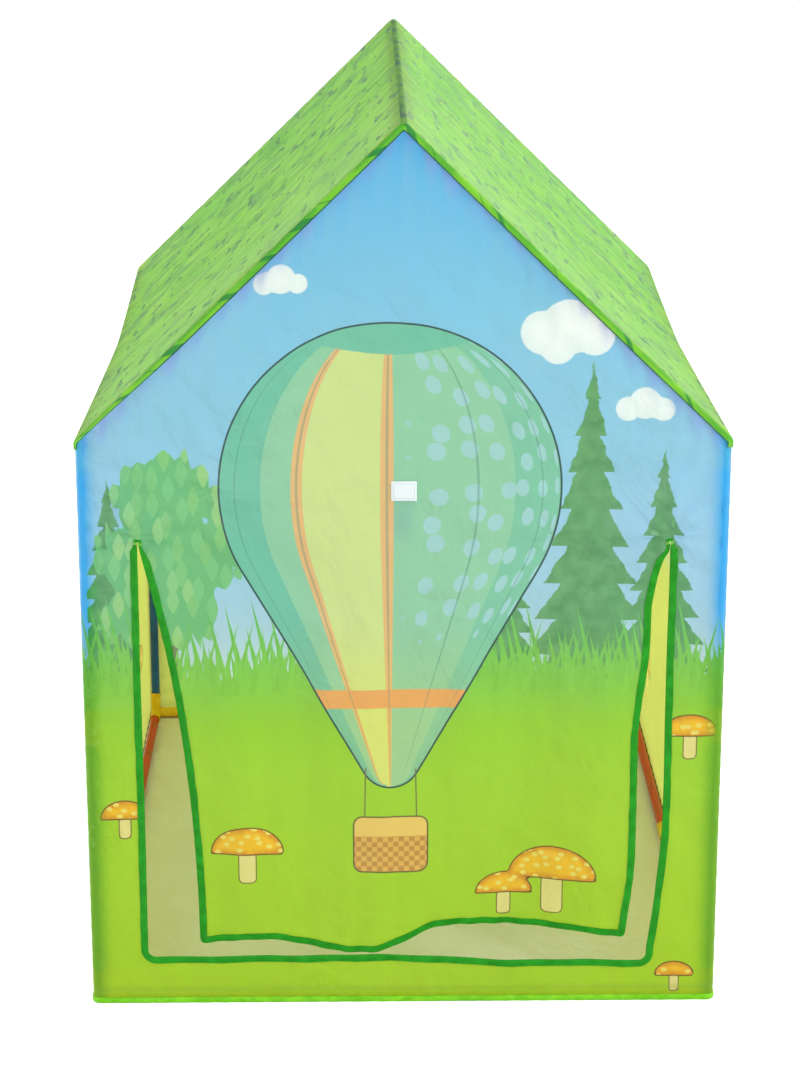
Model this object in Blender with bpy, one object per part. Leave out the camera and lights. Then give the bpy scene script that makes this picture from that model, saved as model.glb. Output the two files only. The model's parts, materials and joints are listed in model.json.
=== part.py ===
# Kids play tent: a house-shaped fabric cover over a frame of push-fit plastic tubes.
# Metres, +Z up. The origin is on the ground under the middle of the tent.
# The gabled door end faces -Y, the ridge runs along Y, and +X is to the right of the door.

from math import asin, atan2, cos, exp, hypot, pi, sin, sqrt, tan

import bmesh
import bpy
from mathutils import Matrix, Vector

# Overall size, over the cloth
OVERALL_WIDTH = 0.720
OVERALL_DEPTH = 0.950
OVERALL_HEIGHT = 1.020
EAVES_AXIS_HEIGHT = 0.668

# Cloth, and the running clearance between any two pieces
CLOTH = 0.0010
CLEARANCE = 0.0003

# Tubes and the sockets that hold them
TUBE_RADIUS = 0.0060
TUBE_WALL = 0.0009
SOCKET_WALL = 0.0007
RIM_HEIGHT = 0.0005
RIM_LENGTH = 0.0040
SOCKET_REACH = 0.031
TUBE_STOP = 0.010
COUPLER_LENGTH = 0.042
COUPLER_RIB = 0.0020
EAVES_BOW = 0.010
ROUND_SIDES = 12

# Lips of the roof cloth, which fold down over the end walls and the side walls
GABLE_LIP = 0.0095
EAVES_LIP = 0.015
BASE_PIPING_HEIGHT = 0.007

# Doorway in the front wall
DOORWAY_WIDTH = 0.588
DOORWAY_SILL = 0.058
DOOR_HINGE_HEIGHT = 0.5565
DOORWAY_CORNER_RADIUS = 0.014
CORNER_STEPS = 4

# Binding tape, folded over every cut edge of the doorway and the door flap
TAPE = 0.0008
TAPE_WIDTH = 0.0075

# Door flap: it narrows downwards, leans to the right, and its hem dips under a crease
SLIT_TOP_GAP = 0.0030
FLAP_TAPER_SHARE = 0.155
FLAP_LEAN = 0.011
FLAP_TAPE_START = 0.0025
FLAP_HEM_HEIGHT = 0.086
HEM_DIP = 0.021
HEM_DIP_PLACE = -0.022
HEM_DIP_WIDTH = 0.045
FLAP_FOLD_LEFT = 0.010
FLAP_FOLD_RIGHT = 0.026
FLAP_FOLD_PLACE_SHARE = 0.55
FLAP_FOLD_SPREAD_SHARE = 0.34
FLAP_COLUMNS = 18
FLAP_ROWS = 10
BEAD_STEPS = 4

# Hook-and-loop patch above the door and the strap sewn behind it
PATCH_WIDTH = 0.028
PATCH_HEIGHT = 0.022
PATCH_THICKNESS = 0.0010
PATCH_CENTRE_HEIGHT = 0.614
STRAP_WIDTH = 0.022
STRAP_DROP = 0.062
STRAP_LAYER = 0.0012
STRAP_FOLD_GAP = 0.0008

# Overruns of cutters past what they cut
OVERRUN = 0.010

# Worked out from the sizes above
SOCKET_BORE = TUBE_RADIUS + CLEARANCE
SOCKET_BODY_RADIUS = SOCKET_BORE + SOCKET_WALL
SOCKET_RADIUS = SOCKET_BODY_RADIUS + RIM_HEIGHT
ROOF_EDGE_X = OVERALL_WIDTH / 2
ROOF_EDGE_Y = OVERALL_DEPTH / 2
WALL_OUTER_X = ROOF_EDGE_X - CLOTH - CLEARANCE
WALL_OUTER_Y = ROOF_EDGE_Y - CLOTH - CLEARANCE
WALL_INNER_X = WALL_OUTER_X - CLOTH
WALL_INNER_Y = WALL_OUTER_Y - CLOTH
WALL_FOOT = CLOTH + CLEARANCE
POST_X = WALL_INNER_X - CLEARANCE - SOCKET_RADIUS
POST_Y = WALL_INNER_Y - CLEARANCE - SOCKET_RADIUS
BASE_AXIS_HEIGHT = CLOTH + CLEARANCE + SOCKET_RADIUS
ROOF_COVER = SOCKET_RADIUS + CLEARANCE + CLOTH
ROOF_RISE_OVER_ALL = OVERALL_HEIGHT - EAVES_AXIS_HEIGHT
ROOF_PITCH = atan2(ROOF_RISE_OVER_ALL, POST_X) - asin(
    ROOF_COVER / hypot(POST_X, ROOF_RISE_OVER_ALL)
)
RIDGE_AXIS_HEIGHT = EAVES_AXIS_HEIGHT + POST_X * tan(ROOF_PITCH)
DOOR_PLANE_Y = -(WALL_OUTER_Y + WALL_INNER_Y) / 2
DOOR_HINGE = (0, DOOR_PLANE_Y, DOOR_HINGE_HEIGHT)
DOORWAY_TOP = DOOR_HINGE_HEIGHT + CLOTH / 2 + CLEARANCE
TAPE_OVER_EDGE = CLEARANCE + TAPE
FLAP_TOP_HALF = DOORWAY_WIDTH / 2 - 2 * TAPE_OVER_EDGE - SLIT_TOP_GAP
STRAP_TOP = PATCH_CENTRE_HEIGHT + PATCH_HEIGHT / 2

# Name: colour, roughness
FINISHES = {
    "blue_tube": ((0.02, 0.13, 0.30), 0.35),
    "red_tube": ((0.62, 0.06, 0.02), 0.35),
    "yellow_tube": ((0.85, 0.52, 0.03), 0.35),
    "yellow_socket": ((0.88, 0.55, 0.02), 0.4),
    "roof_cloth": ((0.33, 0.62, 0.12), 0.55),
    "wall_cloth": ((0.36, 0.62, 0.60), 0.5),
    "floor_cloth": ((0.78, 0.76, 0.62), 0.65),
    "green_tape": ((0.06, 0.38, 0.05), 0.6),
    "lime_piping": ((0.35, 0.62, 0.05), 0.6),
    "white_hook_tape": ((0.86, 0.87, 0.90), 0.8),
}


def clear_scene():
    for item in list(bpy.data.objects):
        bpy.data.objects.remove(item)


def finish(name):
    found = bpy.data.materials.get(name)
    if found:
        return found
    colour, roughness = FINISHES[name]
    made = bpy.data.materials.new(name)
    made.use_nodes = True
    shader = made.node_tree.nodes["Principled BSDF"]
    shader.inputs["Base Color"].default_value = (*colour, 1.0)
    shader.inputs["Roughness"].default_value = roughness
    shader.inputs["Metallic"].default_value = 0.0
    return made


def add_solid(name, points, faces, finish_name=None):
    """A mesh object with its faces turned outwards. One with no finish is a helper that cuts or joins."""
    mesh = bpy.data.meshes.new(name)
    mesh.from_pydata([tuple(p) for p in points], [], faces)
    shell = bmesh.new()
    shell.from_mesh(mesh)
    bmesh.ops.recalc_face_normals(shell, faces=shell.faces)
    shell.to_mesh(mesh)
    shell.free()
    made = bpy.data.objects.new(name, mesh)
    bpy.context.scene.collection.objects.link(made)
    if finish_name is None:
        made.hide_render = True
        made.display_type = "WIRE"
    else:
        mesh.materials.append(finish(finish_name))
    return made


def cut(target, cutter, joins_itself=False):
    """Takes the cutter out of the target; with joins_itself the target's own overlapping shells become one."""
    boolean = target.modifiers.new("cut", "BOOLEAN")
    boolean.operation = "DIFFERENCE"
    boolean.solver = "EXACT"
    boolean.use_self = joins_itself
    boolean.object = cutter
    return target


def prism(name, outline, low_y, high_y, finish_name=None):
    """An outline of (x, z) points, extruded from low_y to high_y."""
    count = len(outline)
    points = [(x, low_y, z) for x, z in outline] + [(x, high_y, z) for x, z in outline]
    faces = [list(range(count)), list(range(2 * count - 1, count - 1, -1))]
    for i in range(count):
        j = (i + 1) % count
        faces.append([i, j, count + j, count + i])
    return add_solid(name, points, faces, finish_name)


def block(name, low, high, finish_name=None):
    (x0, y0, z0), (x1, y1, z1) = low, high
    return prism(name, [(x0, z0), (x1, z0), (x1, z1), (x0, z1)], y0, y1, finish_name)


def across(direction):
    """Two unit vectors square to a direction, the same two for a tube and for the socket around it."""
    side = Vector((0, 1, 0)) if abs(direction.y) < 1 / 2 else Vector((1, 0, 0))
    first = direction.cross(side).normalized()
    return first, direction.cross(first).normalized()


def turned(start, direction, profile):
    """Points and faces of a closed (distance, radius) profile turned about a line; radius 0 closes on the line."""
    direction = Vector(direction).normalized()
    first, second = across(direction)
    rings, points = [], []
    for distance, radius in profile:
        centre = Vector(start) + direction * distance
        turns = ROUND_SIDES if radius > 0 else 1
        rings.append([len(points) + k for k in range(turns)])
        for k in range(turns):
            angle = 2 * pi * (k + 1 / 2) / ROUND_SIDES
            points.append(centre + (first * cos(angle) + second * sin(angle)) * radius)
    faces = []
    for low, high in zip(rings, rings[1:] + rings[:1]):
        if len(low) == 1 and len(high) == 1:
            continue
        for k in range(ROUND_SIDES):
            corners = [low[k % len(low)], low[(k + 1) % len(low)]]
            corners += [high[(k + 1) % len(high)], high[k % len(high)]]
            faces.append(list(dict.fromkeys(corners)))
    return points, faces


def joined(shapes):
    """Several (points, faces) as one."""
    points, faces = [], []
    for more_points, more_faces in shapes:
        faces += [[len(points) + i for i in face] for face in more_faces]
        points += more_points
    return points, faces


def hang_on_axis(item, place):
    """Puts the object's origin on the axis that it turns about, and leaves the object where it is."""
    item.data.transform(Matrix.Translation(-Vector(place)))
    item.location = place


def shade_round(item):
    item.data.shade_smooth()
    item.data.set_sharp_from_angle(angle=pi / 5)


def tube(name, start, end, finish_name):
    """A hollow tube, open at both ends."""
    start, end = Vector(start), Vector(end)
    length = (end - start).length
    bore = TUBE_RADIUS - TUBE_WALL
    profile = [(0, bore), (0, TUBE_RADIUS), (length, TUBE_RADIUS), (length, bore)]
    made = add_solid(name, *turned(start, end - start, profile), finish_name)
    shade_round(made)
    return made


def coupler(name, centre, direction):
    """A straight sleeve that joins two tubes. They stop against the rib in its middle."""
    direction = Vector(direction).normalized()
    half, rib = COUPLER_LENGTH / 2, COUPLER_RIB / 2
    rib_bore = TUBE_RADIUS - TUBE_WALL
    outside = [
        (0, SOCKET_RADIUS),
        (RIM_LENGTH, SOCKET_RADIUS),
        (RIM_LENGTH, SOCKET_BODY_RADIUS),
        (2 * half - RIM_LENGTH, SOCKET_BODY_RADIUS),
        (2 * half - RIM_LENGTH, SOCKET_RADIUS),
        (2 * half, SOCKET_RADIUS),
    ]
    inside = [
        (2 * half, SOCKET_BORE),
        (half + rib, SOCKET_BORE),
        (half + rib, rib_bore),
        (half - rib, rib_bore),
        (half - rib, SOCKET_BORE),
        (0, SOCKET_BORE),
    ]
    start = Vector(centre) - direction * half
    made = add_solid(name, *turned(start, direction, outside + inside), "yellow_socket")
    shade_round(made)
    return made


def socket(name, crossing, directions, reach=SOCKET_REACH, stop=TUBE_STOP):
    """A moulded joint with one arm for each tube that meets there. The tubes stop short of the crossing."""
    arm = [
        (0, 0),
        (0, SOCKET_BODY_RADIUS),
        (reach - RIM_LENGTH, SOCKET_BODY_RADIUS),
        (reach - RIM_LENGTH, SOCKET_RADIUS),
        (reach, SOCKET_RADIUS),
        (reach, 0),
    ]
    bore = [
        (stop - CLEARANCE, 0),
        (stop - CLEARANCE, SOCKET_BORE),
        (reach + OVERRUN, SOCKET_BORE),
        (reach + OVERRUN, 0),
    ]
    arms = [turned(crossing, d, arm) for d in directions]
    made = add_solid(name, *joined([hub(crossing)] + arms), "yellow_socket")
    bores = joined([turned(crossing, d, bore) for d in directions])
    cut(made, add_solid(name + "_bores", *bores), joins_itself=True)
    shade_round(made)
    return made


def hub(crossing):
    """The ball at the middle of a socket, closed round where its arms start."""
    radius = SOCKET_RADIUS
    shell = bmesh.new()
    bmesh.ops.create_uvsphere(shell, u_segments=ROUND_SIDES, v_segments=ROUND_SIDES // 2, radius=radius)
    points = [Vector(crossing) + v.co for v in shell.verts]
    faces = [[v.index for v in f.verts] for f in shell.faces]
    shell.free()
    return points, faces


def bar(name, start, end, first_name, second_name, finish_name):
    """Two tubes and a coupler that fill the run between two socket crossings."""
    start, end = Vector(start), Vector(end)
    along = (end - start).normalized()
    middle = (start + end) / 2
    rib = along * (COUPLER_RIB / 2 + CLEARANCE)
    tube(name + "_" + first_name, start + along * TUBE_STOP, middle - rib, finish_name)
    tube(name + "_" + second_name, middle + rib, end - along * TUBE_STOP, finish_name)
    coupler(name + "_coupler", middle, along)


def eaves_middle(sx):
    """Where the two tubes of an eaves bar meet. The pull of the cloth bows the bar inwards there."""
    return Vector((sx * (POST_X - EAVES_BOW), 0, EAVES_AXIS_HEIGHT))


SIDES = (("left", -1), ("right", 1))
ENDS = (("front", -1), ("back", 1))


def build_posts_and_corners():
    for end, ey in ENDS:
        for side, sx in SIDES:
            low = Vector((sx * POST_X, ey * POST_Y, BASE_AXIS_HEIGHT))
            high = Vector((sx * POST_X, ey * POST_Y, EAVES_AXIS_HEIGHT))
            inward_x, inward_y = Vector((-sx, 0, 0)), Vector((0, -ey, 0))
            up_slope = Vector((-sx * cos(ROOF_PITCH), 0, sin(ROOF_PITCH)))
            up, down = Vector((0, 0, 1)), Vector((0, 0, -1))
            where = end + "_" + side
            socket("corner_socket_" + where, low, [up, inward_x, inward_y])
            along_eaves = (eaves_middle(sx) - high).normalized()
            socket("eaves_socket_" + where, high, [down, along_eaves, up_slope])
            bar("post_" + where, low, high, "lower", "upper", "blue_tube")
            top = Vector((0, ey * POST_Y, RIDGE_AXIS_HEIGHT))
            stop = up_slope * TUBE_STOP
            tube("rafter_" + where, high + stop, top - stop, "yellow_tube")


def build_ridge():
    for end, ey in ENDS:
        crossing = Vector((0, ey * POST_Y, RIDGE_AXIS_HEIGHT))
        down_left = Vector((-cos(ROOF_PITCH), 0, -sin(ROOF_PITCH)))
        down_right = Vector((cos(ROOF_PITCH), 0, -sin(ROOF_PITCH)))
        socket("ridge_socket_" + end, crossing, [down_left, down_right, Vector((0, -ey, 0))])
    front = (0, -POST_Y, RIDGE_AXIS_HEIGHT)
    back = (0, POST_Y, RIDGE_AXIS_HEIGHT)
    bar("ridge_bar", front, back, "front", "back", "red_tube")


def build_base_bars():
    for side, sx in SIDES:
        front, back = (sx * POST_X, -POST_Y, BASE_AXIS_HEIGHT), (sx * POST_X, POST_Y, BASE_AXIS_HEIGHT)
        bar("base_bar_" + side, front, back, "front", "back", "red_tube")
    for end, ey in ENDS:
        left = (-POST_X, ey * POST_Y, BASE_AXIS_HEIGHT)
        right = (POST_X, ey * POST_Y, BASE_AXIS_HEIGHT)
        bar("base_bar_" + end, left, right, "left", "right", "yellow_tube")


def build_eaves_bars():
    """Each is two straight tubes that meet in a coupler whose two arms take up the slight bend."""
    stop = COUPLER_RIB / 2 + CLEARANCE
    for side, sx in SIDES:
        name, middle, arms = "eaves_bar_" + side, eaves_middle(sx), []
        for end, ey in ENDS:
            crossing = Vector((sx * POST_X, ey * POST_Y, EAVES_AXIS_HEIGHT))
            along = (middle - crossing).normalized()
            tube(name + "_" + end, crossing + along * TUBE_STOP, middle - along * stop, "red_tube")
            arms.append(-along)
        socket(name + "_coupler", middle, arms, COUPLER_LENGTH / 2, stop)


def roof_height(x, depth_below):
    """Height over x of the plane that lies depth_below the roof's outer face, measured square to it."""
    above_axis = (ROOF_COVER - depth_below) / cos(ROOF_PITCH)
    return EAVES_AXIS_HEIGHT + (POST_X - abs(x)) * tan(ROOF_PITCH) + above_axis


def build_roof():
    """Each slope is one sheet with a lip down over both end walls and over the side wall."""
    for side, sx in SIDES:
        seam = CLEARANCE / 2
        lip_inner = ROOF_EDGE_X - CLOTH
        eaves_low = roof_height(ROOF_EDGE_X, 0) - EAVES_LIP
        outer = [
            (seam, roof_height(seam, 0)),
            (ROOF_EDGE_X, roof_height(ROOF_EDGE_X, 0)),
            (ROOF_EDGE_X, eaves_low),
            (lip_inner, eaves_low),
            (lip_inner, roof_height(lip_inner, GABLE_LIP)),
            (seam, roof_height(seam, GABLE_LIP)),
        ]
        under = [
            (-OVERRUN, roof_height(0, CLOTH) + OVERRUN * tan(ROOF_PITCH)),
            (lip_inner, roof_height(lip_inner, CLOTH)),
            (lip_inner, eaves_low - OVERRUN),
            (-OVERRUN, eaves_low - OVERRUN),
        ]
        sheet = prism(
            "roof_" + side, [(sx * x, z) for x, z in outer], -ROOF_EDGE_Y, ROOF_EDGE_Y, "roof_cloth"
        )
        inside = ROOF_EDGE_Y - CLOTH
        cutter = prism("roof_under_" + side, [(sx * x, z) for x, z in under], -inside, inside)
        cut(sheet, cutter)


def gable_outline():
    """The end walls: straight sides up to the eaves, then the two slopes, just under the roof sheet."""
    top_gap = CLOTH + CLEARANCE
    edge = roof_height(WALL_OUTER_X, top_gap)
    return [
        (-WALL_OUTER_X, WALL_FOOT),
        (WALL_OUTER_X, WALL_FOOT),
        (WALL_OUTER_X, edge),
        (0, roof_height(0, top_gap)),
        (-WALL_OUTER_X, edge),
    ]


def doorway_edge():
    """Stations down the left jamb, along the sill and up the right jamb: (point, outward unit, corner factor).

    Outward points off the cloth, into the opening. Points and units are (x, z)."""
    half, radius = DOORWAY_WIDTH / 2, DOORWAY_CORNER_RADIUS
    stations = [((-half, DOORWAY_TOP), (1, 0))]
    for centre_x, first_angle in ((-half + radius, pi), (half - radius, 3 * pi / 2)):
        for step in range(CORNER_STEPS + 1):
            angle = first_angle + pi / 2 * step / CORNER_STEPS
            place = (centre_x + radius * cos(angle), DOORWAY_SILL + radius + radius * sin(angle))
            stations.append((place, (-cos(angle), -sin(angle))))
    stations.append(((half, DOORWAY_TOP), (-1, 0)))
    return stations


def build_walls():
    front = prism("front_wall", gable_outline(), -WALL_OUTER_Y, -WALL_INNER_Y, "wall_cloth")
    opening = [place for place, _ in doorway_edge()]
    cut(front, prism("doorway_cutter", opening, -ROOF_EDGE_Y - OVERRUN, -WALL_INNER_Y + OVERRUN))
    prism("back_wall", gable_outline(), WALL_INNER_Y, WALL_OUTER_Y, "wall_cloth")
    top = roof_height(WALL_OUTER_X, CLOTH + CLEARANCE)
    for side, sx in SIDES:
        low_x, high_x = sorted((sx * WALL_INNER_X, sx * WALL_OUTER_X))
        reach = WALL_INNER_Y - CLEARANCE
        block("side_wall_" + side, (low_x, -reach, WALL_FOOT), (high_x, reach, top), "wall_cloth")


def build_base():
    block("floor_sheet", (-WALL_OUTER_X, -WALL_OUTER_Y, 0), (WALL_OUTER_X, WALL_OUTER_Y, CLOTH), "floor_cloth")
    piping = block(
        "base_piping",
        (-ROOF_EDGE_X, -ROOF_EDGE_Y, 0),
        (ROOF_EDGE_X, ROOF_EDGE_Y, BASE_PIPING_HEIGHT),
        "lime_piping",
    )
    inner_x, inner_y = WALL_OUTER_X + CLEARANCE, WALL_OUTER_Y + CLEARANCE
    cutter = block(
        "piping_cutter", (-inner_x, -inner_y, -OVERRUN), (inner_x, inner_y, BASE_PIPING_HEIGHT + OVERRUN)
    )
    cut(piping, cutter)


def folded_tape(name, stations, finish_name):
    """Binding tape folded over a cloth edge.

    Each station is (edge point, point where the tape ends on the cloth, direction off the edge)."""
    outer, inner = CLOTH / 2 + CLEARANCE + TAPE, CLOTH / 2 + CLEARANCE
    off_y = Vector((0, 1, 0))
    points = []
    for edge, end, off in stations:
        lip, web = edge + off * (CLEARANCE + TAPE), edge + off * CLEARANCE
        points += [end - off_y * outer, lip - off_y * outer, lip + off_y * outer, end + off_y * outer]
        points += [end + off_y * inner, web + off_y * inner, web - off_y * inner, end - off_y * inner]
    size = 8
    faces = [list(range(size)), list(range(len(points) - 1, len(points) - size - 1, -1))]
    for k in range(len(stations) - 1):
        for i in range(size):
            j = (i + 1) % size
            faces.append([k * size + i, k * size + j, (k + 1) * size + j, (k + 1) * size + i])
    return add_solid(name, points, faces, finish_name)


def build_doorway_binding():
    stations = []
    for (x, z), (out_x, out_z) in doorway_edge():
        edge, off = Vector((x, DOOR_PLANE_Y, z)), Vector((out_x, 0, out_z))
        stations.append((edge, edge - off * TAPE_WIDTH, off))
    folded_tape("doorway_binding", stations, "green_tape")


def hem_height(x):
    """The hem dips under the crease down the middle of the flap."""
    return FLAP_HEM_HEIGHT - HEM_DIP * exp(-(((x - HEM_DIP_PLACE) / HEM_DIP_WIDTH) ** 2))


def flap_fold(x, share_down):
    """How far the cloth swings inwards there: not at all at the top or along the middle crease."""
    depth = FLAP_FOLD_LEFT if x < HEM_DIP_PLACE else FLAP_FOLD_RIGHT
    place = abs(x - HEM_DIP_PLACE) / (FLAP_TOP_HALF * FLAP_FOLD_PLACE_SHARE)
    return depth * share_down**2 * sin(min(place, 2) * pi / 2) ** 2


def flap_row(share_down, is_hem):
    half = FLAP_TOP_HALF * (1 - FLAP_TAPER_SHARE * sqrt(share_down))
    inner = half - TAPE_WIDTH
    row = []
    for j in range(FLAP_COLUMNS + 1):
        place = -inner + 2 * inner * (j - 1) / (FLAP_COLUMNS - 2)
        across_flap = -half if j == 0 else half if j == FLAP_COLUMNS else place
        x = across_flap + FLAP_LEAN * share_down
        hem = hem_height(x)
        strip_top = hem + TAPE_WIDTH
        z = hem if is_hem else DOOR_HINGE_HEIGHT + (strip_top - DOOR_HINGE_HEIGHT) * share_down
        row.append(Vector((x, DOOR_PLANE_Y + flap_fold(x, share_down), z)))
    return row


def flap_grid():
    """Rows of points on the middle of the flap's cloth, from the hinge line to the hem.

    The outer columns and the last row are strips one tape wide. Row 1 is where the tape starts."""
    rows = [flap_row(i / (FLAP_ROWS - 1), False) for i in range(FLAP_ROWS)]
    start_share = FLAP_TAPE_START / (rows[0][0].z - rows[1][0].z)
    rows.insert(1, [top.lerp(low, start_share) for top, low in zip(rows[0], rows[1])])
    return rows + [flap_row(1, True)]


def build_flap():
    """One sheet, wrapped from the hem's outer side over the rounded hinge edge to the hem's inner side."""
    rows = flap_grid()
    half = CLOTH / 2
    wrap = [[p - Vector((0, half, 0)) for p in row] for row in reversed(rows)]
    for k in range(1, BEAD_STEPS):
        angle = pi * k / BEAD_STEPS
        wrap.append([p + Vector((0, -half * cos(angle), half * sin(angle))) for p in rows[0]])
    wrap += [[p + Vector((0, half, 0)) for p in row] for row in rows]
    wide, last = FLAP_COLUMNS + 1, len(wrap) - 1
    faces = []
    for m in range(last):
        for j in range(FLAP_COLUMNS):
            a, b = m * wide + j, m * wide + j + 1
            c, d = b + wide, a + wide
            faces += [[a, b, c], [a, c, d]] if m < len(rows) else [[a, b, d], [b, c, d]]
    for j in range(FLAP_COLUMNS):
        faces.append([j, last * wide + j, last * wide + j + 1, j + 1])
    for j in (0, FLAP_COLUMNS):
        for m in range(len(rows) - 1):
            faces.append([row * wide + j for row in (m, m + 1, last - m - 1, last - m)])
        faces.append([row * wide + j for row in range(len(rows) - 1, len(rows) + BEAD_STEPS)])
    flap = add_solid("door_flap", [p for row in wrap for p in row], faces, "wall_cloth")
    flap.data.shade_smooth()
    flap.data.set_sharp_from_angle(angle=pi / 5)
    hang_on_axis(flap, DOOR_HINGE)


def build_flap_binding():
    """One tape down the left edge of the flap, along its hem and up the right edge."""
    rows = flap_grid()[1:]
    last = FLAP_COLUMNS
    left, down, right = Vector((-1, 0, 0)), Vector((0, 0, -1)), Vector((1, 0, 0))
    stations = [(row[0], row[1], left) for row in rows[:-1]]
    stations.append((rows[-1][0], rows[-2][1], left + down))
    for j in range(2, last - 1):
        stations.append((rows[-1][j], rows[-2][j], down))
    stations.append((rows[-1][last], rows[-2][last - 1], right + down))
    stations += [(row[last], row[last - 1], right) for row in reversed(rows[:-1])]
    hang_on_axis(folded_tape("flap_binding", stations, "green_tape"), DOOR_HINGE)


def build_tieback():
    """A loop patch on the outside, and behind it a hook strap that hangs folded on itself."""
    front = -WALL_OUTER_Y - CLEARANCE
    low, high = PATCH_CENTRE_HEIGHT - PATCH_HEIGHT / 2, PATCH_CENTRE_HEIGHT + PATCH_HEIGHT / 2
    block(
        "loop_patch",
        (-PATCH_WIDTH / 2, front - PATCH_THICKNESS, low),
        (PATCH_WIDTH / 2, front, high),
        "white_hook_tape",
    )
    thickness = 2 * STRAP_LAYER + STRAP_FOLD_GAP
    back = -WALL_INNER_Y + CLEARANCE
    strap = block(
        "tieback_strap",
        (-STRAP_WIDTH / 2, back, STRAP_TOP - STRAP_DROP),
        (STRAP_WIDTH / 2, back + thickness, STRAP_TOP),
        "white_hook_tape",
    )
    slot = block(
        "strap_slot",
        (-STRAP_WIDTH / 2 - OVERRUN, back + STRAP_LAYER, STRAP_TOP - STRAP_DROP + STRAP_LAYER),
        (STRAP_WIDTH / 2 + OVERRUN, back + STRAP_LAYER + STRAP_FOLD_GAP, STRAP_TOP + OVERRUN),
    )
    cut(strap, slot)
    hang_on_axis(strap, (0, back + thickness / 2, STRAP_TOP))


clear_scene()
build_posts_and_corners()
build_ridge()
build_base_bars()
build_eaves_bars()
build_roof()
build_walls()
build_base()
build_doorway_binding()
build_flap()
build_flap_binding()
build_tieback()
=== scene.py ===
# %% [markdown]
# # A kids play tent, from bare frame to printed cloth
#
# A play tent is a printed polyester cover pulled over a frame of thin plastic tubes. This lesson takes
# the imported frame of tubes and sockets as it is, and sews the cover on it: four walls, a roof of two
# slopes, a floor, a door flap, and the green tapes that bind the cut edges. Cloth this thin shows
# everything that pulls on it, so most of the work is in folds, seams and light shining through.

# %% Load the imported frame
import json
from math import atan2, cos, pi, radians, sin, sqrt, tan

import bmesh
import bpy
import numpy as np
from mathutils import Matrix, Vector


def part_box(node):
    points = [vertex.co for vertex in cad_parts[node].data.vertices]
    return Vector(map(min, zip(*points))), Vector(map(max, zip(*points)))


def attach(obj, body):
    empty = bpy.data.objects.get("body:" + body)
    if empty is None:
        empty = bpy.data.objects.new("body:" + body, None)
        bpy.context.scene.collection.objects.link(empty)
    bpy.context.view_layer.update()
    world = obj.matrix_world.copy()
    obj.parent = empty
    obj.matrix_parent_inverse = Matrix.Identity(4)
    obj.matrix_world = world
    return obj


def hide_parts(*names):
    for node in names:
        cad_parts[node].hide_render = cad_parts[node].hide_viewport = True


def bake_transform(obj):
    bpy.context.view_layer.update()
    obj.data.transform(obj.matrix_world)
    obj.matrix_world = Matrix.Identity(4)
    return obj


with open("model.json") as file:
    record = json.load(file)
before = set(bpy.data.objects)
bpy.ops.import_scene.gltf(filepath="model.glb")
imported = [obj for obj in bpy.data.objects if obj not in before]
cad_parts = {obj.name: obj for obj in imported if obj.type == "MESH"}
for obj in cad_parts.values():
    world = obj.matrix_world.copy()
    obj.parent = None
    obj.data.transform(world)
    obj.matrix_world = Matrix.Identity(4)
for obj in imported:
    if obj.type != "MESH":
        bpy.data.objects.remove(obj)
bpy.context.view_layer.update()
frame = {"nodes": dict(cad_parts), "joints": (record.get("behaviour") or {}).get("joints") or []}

# %% [markdown]
# The cover is sewn to fit the frame, so its measures are taken from the frame, as a tailor would. The
# walls stand just outside the posts, and the roof lies a little above the tubes that carry it. What
# the frame doesn't tell is the tailor's choice: the width of the tape, the thickness of the cloth, the
# height of the roof cloth over the middle of a tube, named COVER, and the lips along the gables.

# %% Measures taken from the frame
POST_LOW, POST_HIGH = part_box("post_front_right_upper")
EAVES_LOW, EAVES_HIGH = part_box("eaves_bar_right_front")
RIDGE_LOW, RIDGE_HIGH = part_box("ridge_bar_front")
TAPE_LOW, TAPE_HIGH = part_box("doorway_binding")
POST_X = (POST_LOW.x + POST_HIGH.x) / 2
EAVES_Z = (EAVES_LOW.z + EAVES_HIGH.z) / 2
RIDGE_Z = (RIDGE_LOW.z + RIDGE_HIGH.z) / 2
PITCH = atan2(RIDGE_Z - EAVES_Z, POST_X)
WALL_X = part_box("side_wall_right")[1].x
WALL_Y = -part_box("front_wall")[0].y
WALL_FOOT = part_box("front_wall")[0].z
ROOF_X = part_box("roof_right")[1].x
ROOF_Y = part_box("roof_right")[1].y
LIP_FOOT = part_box("roof_right")[0].z
HINGE_Z = frame["joints"][0]["pos_m"][2]
TAPE_WIDTH = 0.0075
JAMB = TAPE_HIGH.x - TAPE_WIDTH
SILL = TAPE_LOW.z + TAPE_WIDTH
DOOR_TOP = TAPE_HIGH.z
FLAP_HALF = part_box("door_flap")[1].x
CLOTH = 0.0005
COVER = 0.0088
SEAM_X = 0.3505
CORNER_RADIUS = 0.008
GABLE_LIP = 0.0078
LIP_BEND = 0.003
LIP_END = ROOF_Y - LIP_BEND + LIP_BEND * pi / 2 + GABLE_LIP - LIP_BEND
print("pitch", round(PITCH * 180 / pi, 2), "jamb", JAMB, "sill", SILL, "door top", DOOR_TOP)

# %% [markdown]
# The camera repeats the photograph: a long lens from about three metres, a little above the ridge and
# looking down, so both roof slopes show beside the front gable. It is placed first, because every
# later choice is judged through it.

# %% The camera
lens = bpy.data.cameras.new("camera")
lens.lens = 95.63
lens.sensor_width = 36
camera = bpy.data.objects.new("camera", lens)
camera.location = (-0.046, -3.456, 1.467)
camera.rotation_euler = (radians(90 - 16.82), 0, radians(-0.8))
bpy.context.collection.objects.link(camera)
bpy.context.scene.camera = camera

# %% [markdown]
# Shader patterns are arithmetic: a cloud is a distance compared with a radius. Written as nodes by
# hand that is slow to read, so a small class wraps a socket, and plain Python sums add the nodes.

# %% Writing shader maths in Python


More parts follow.
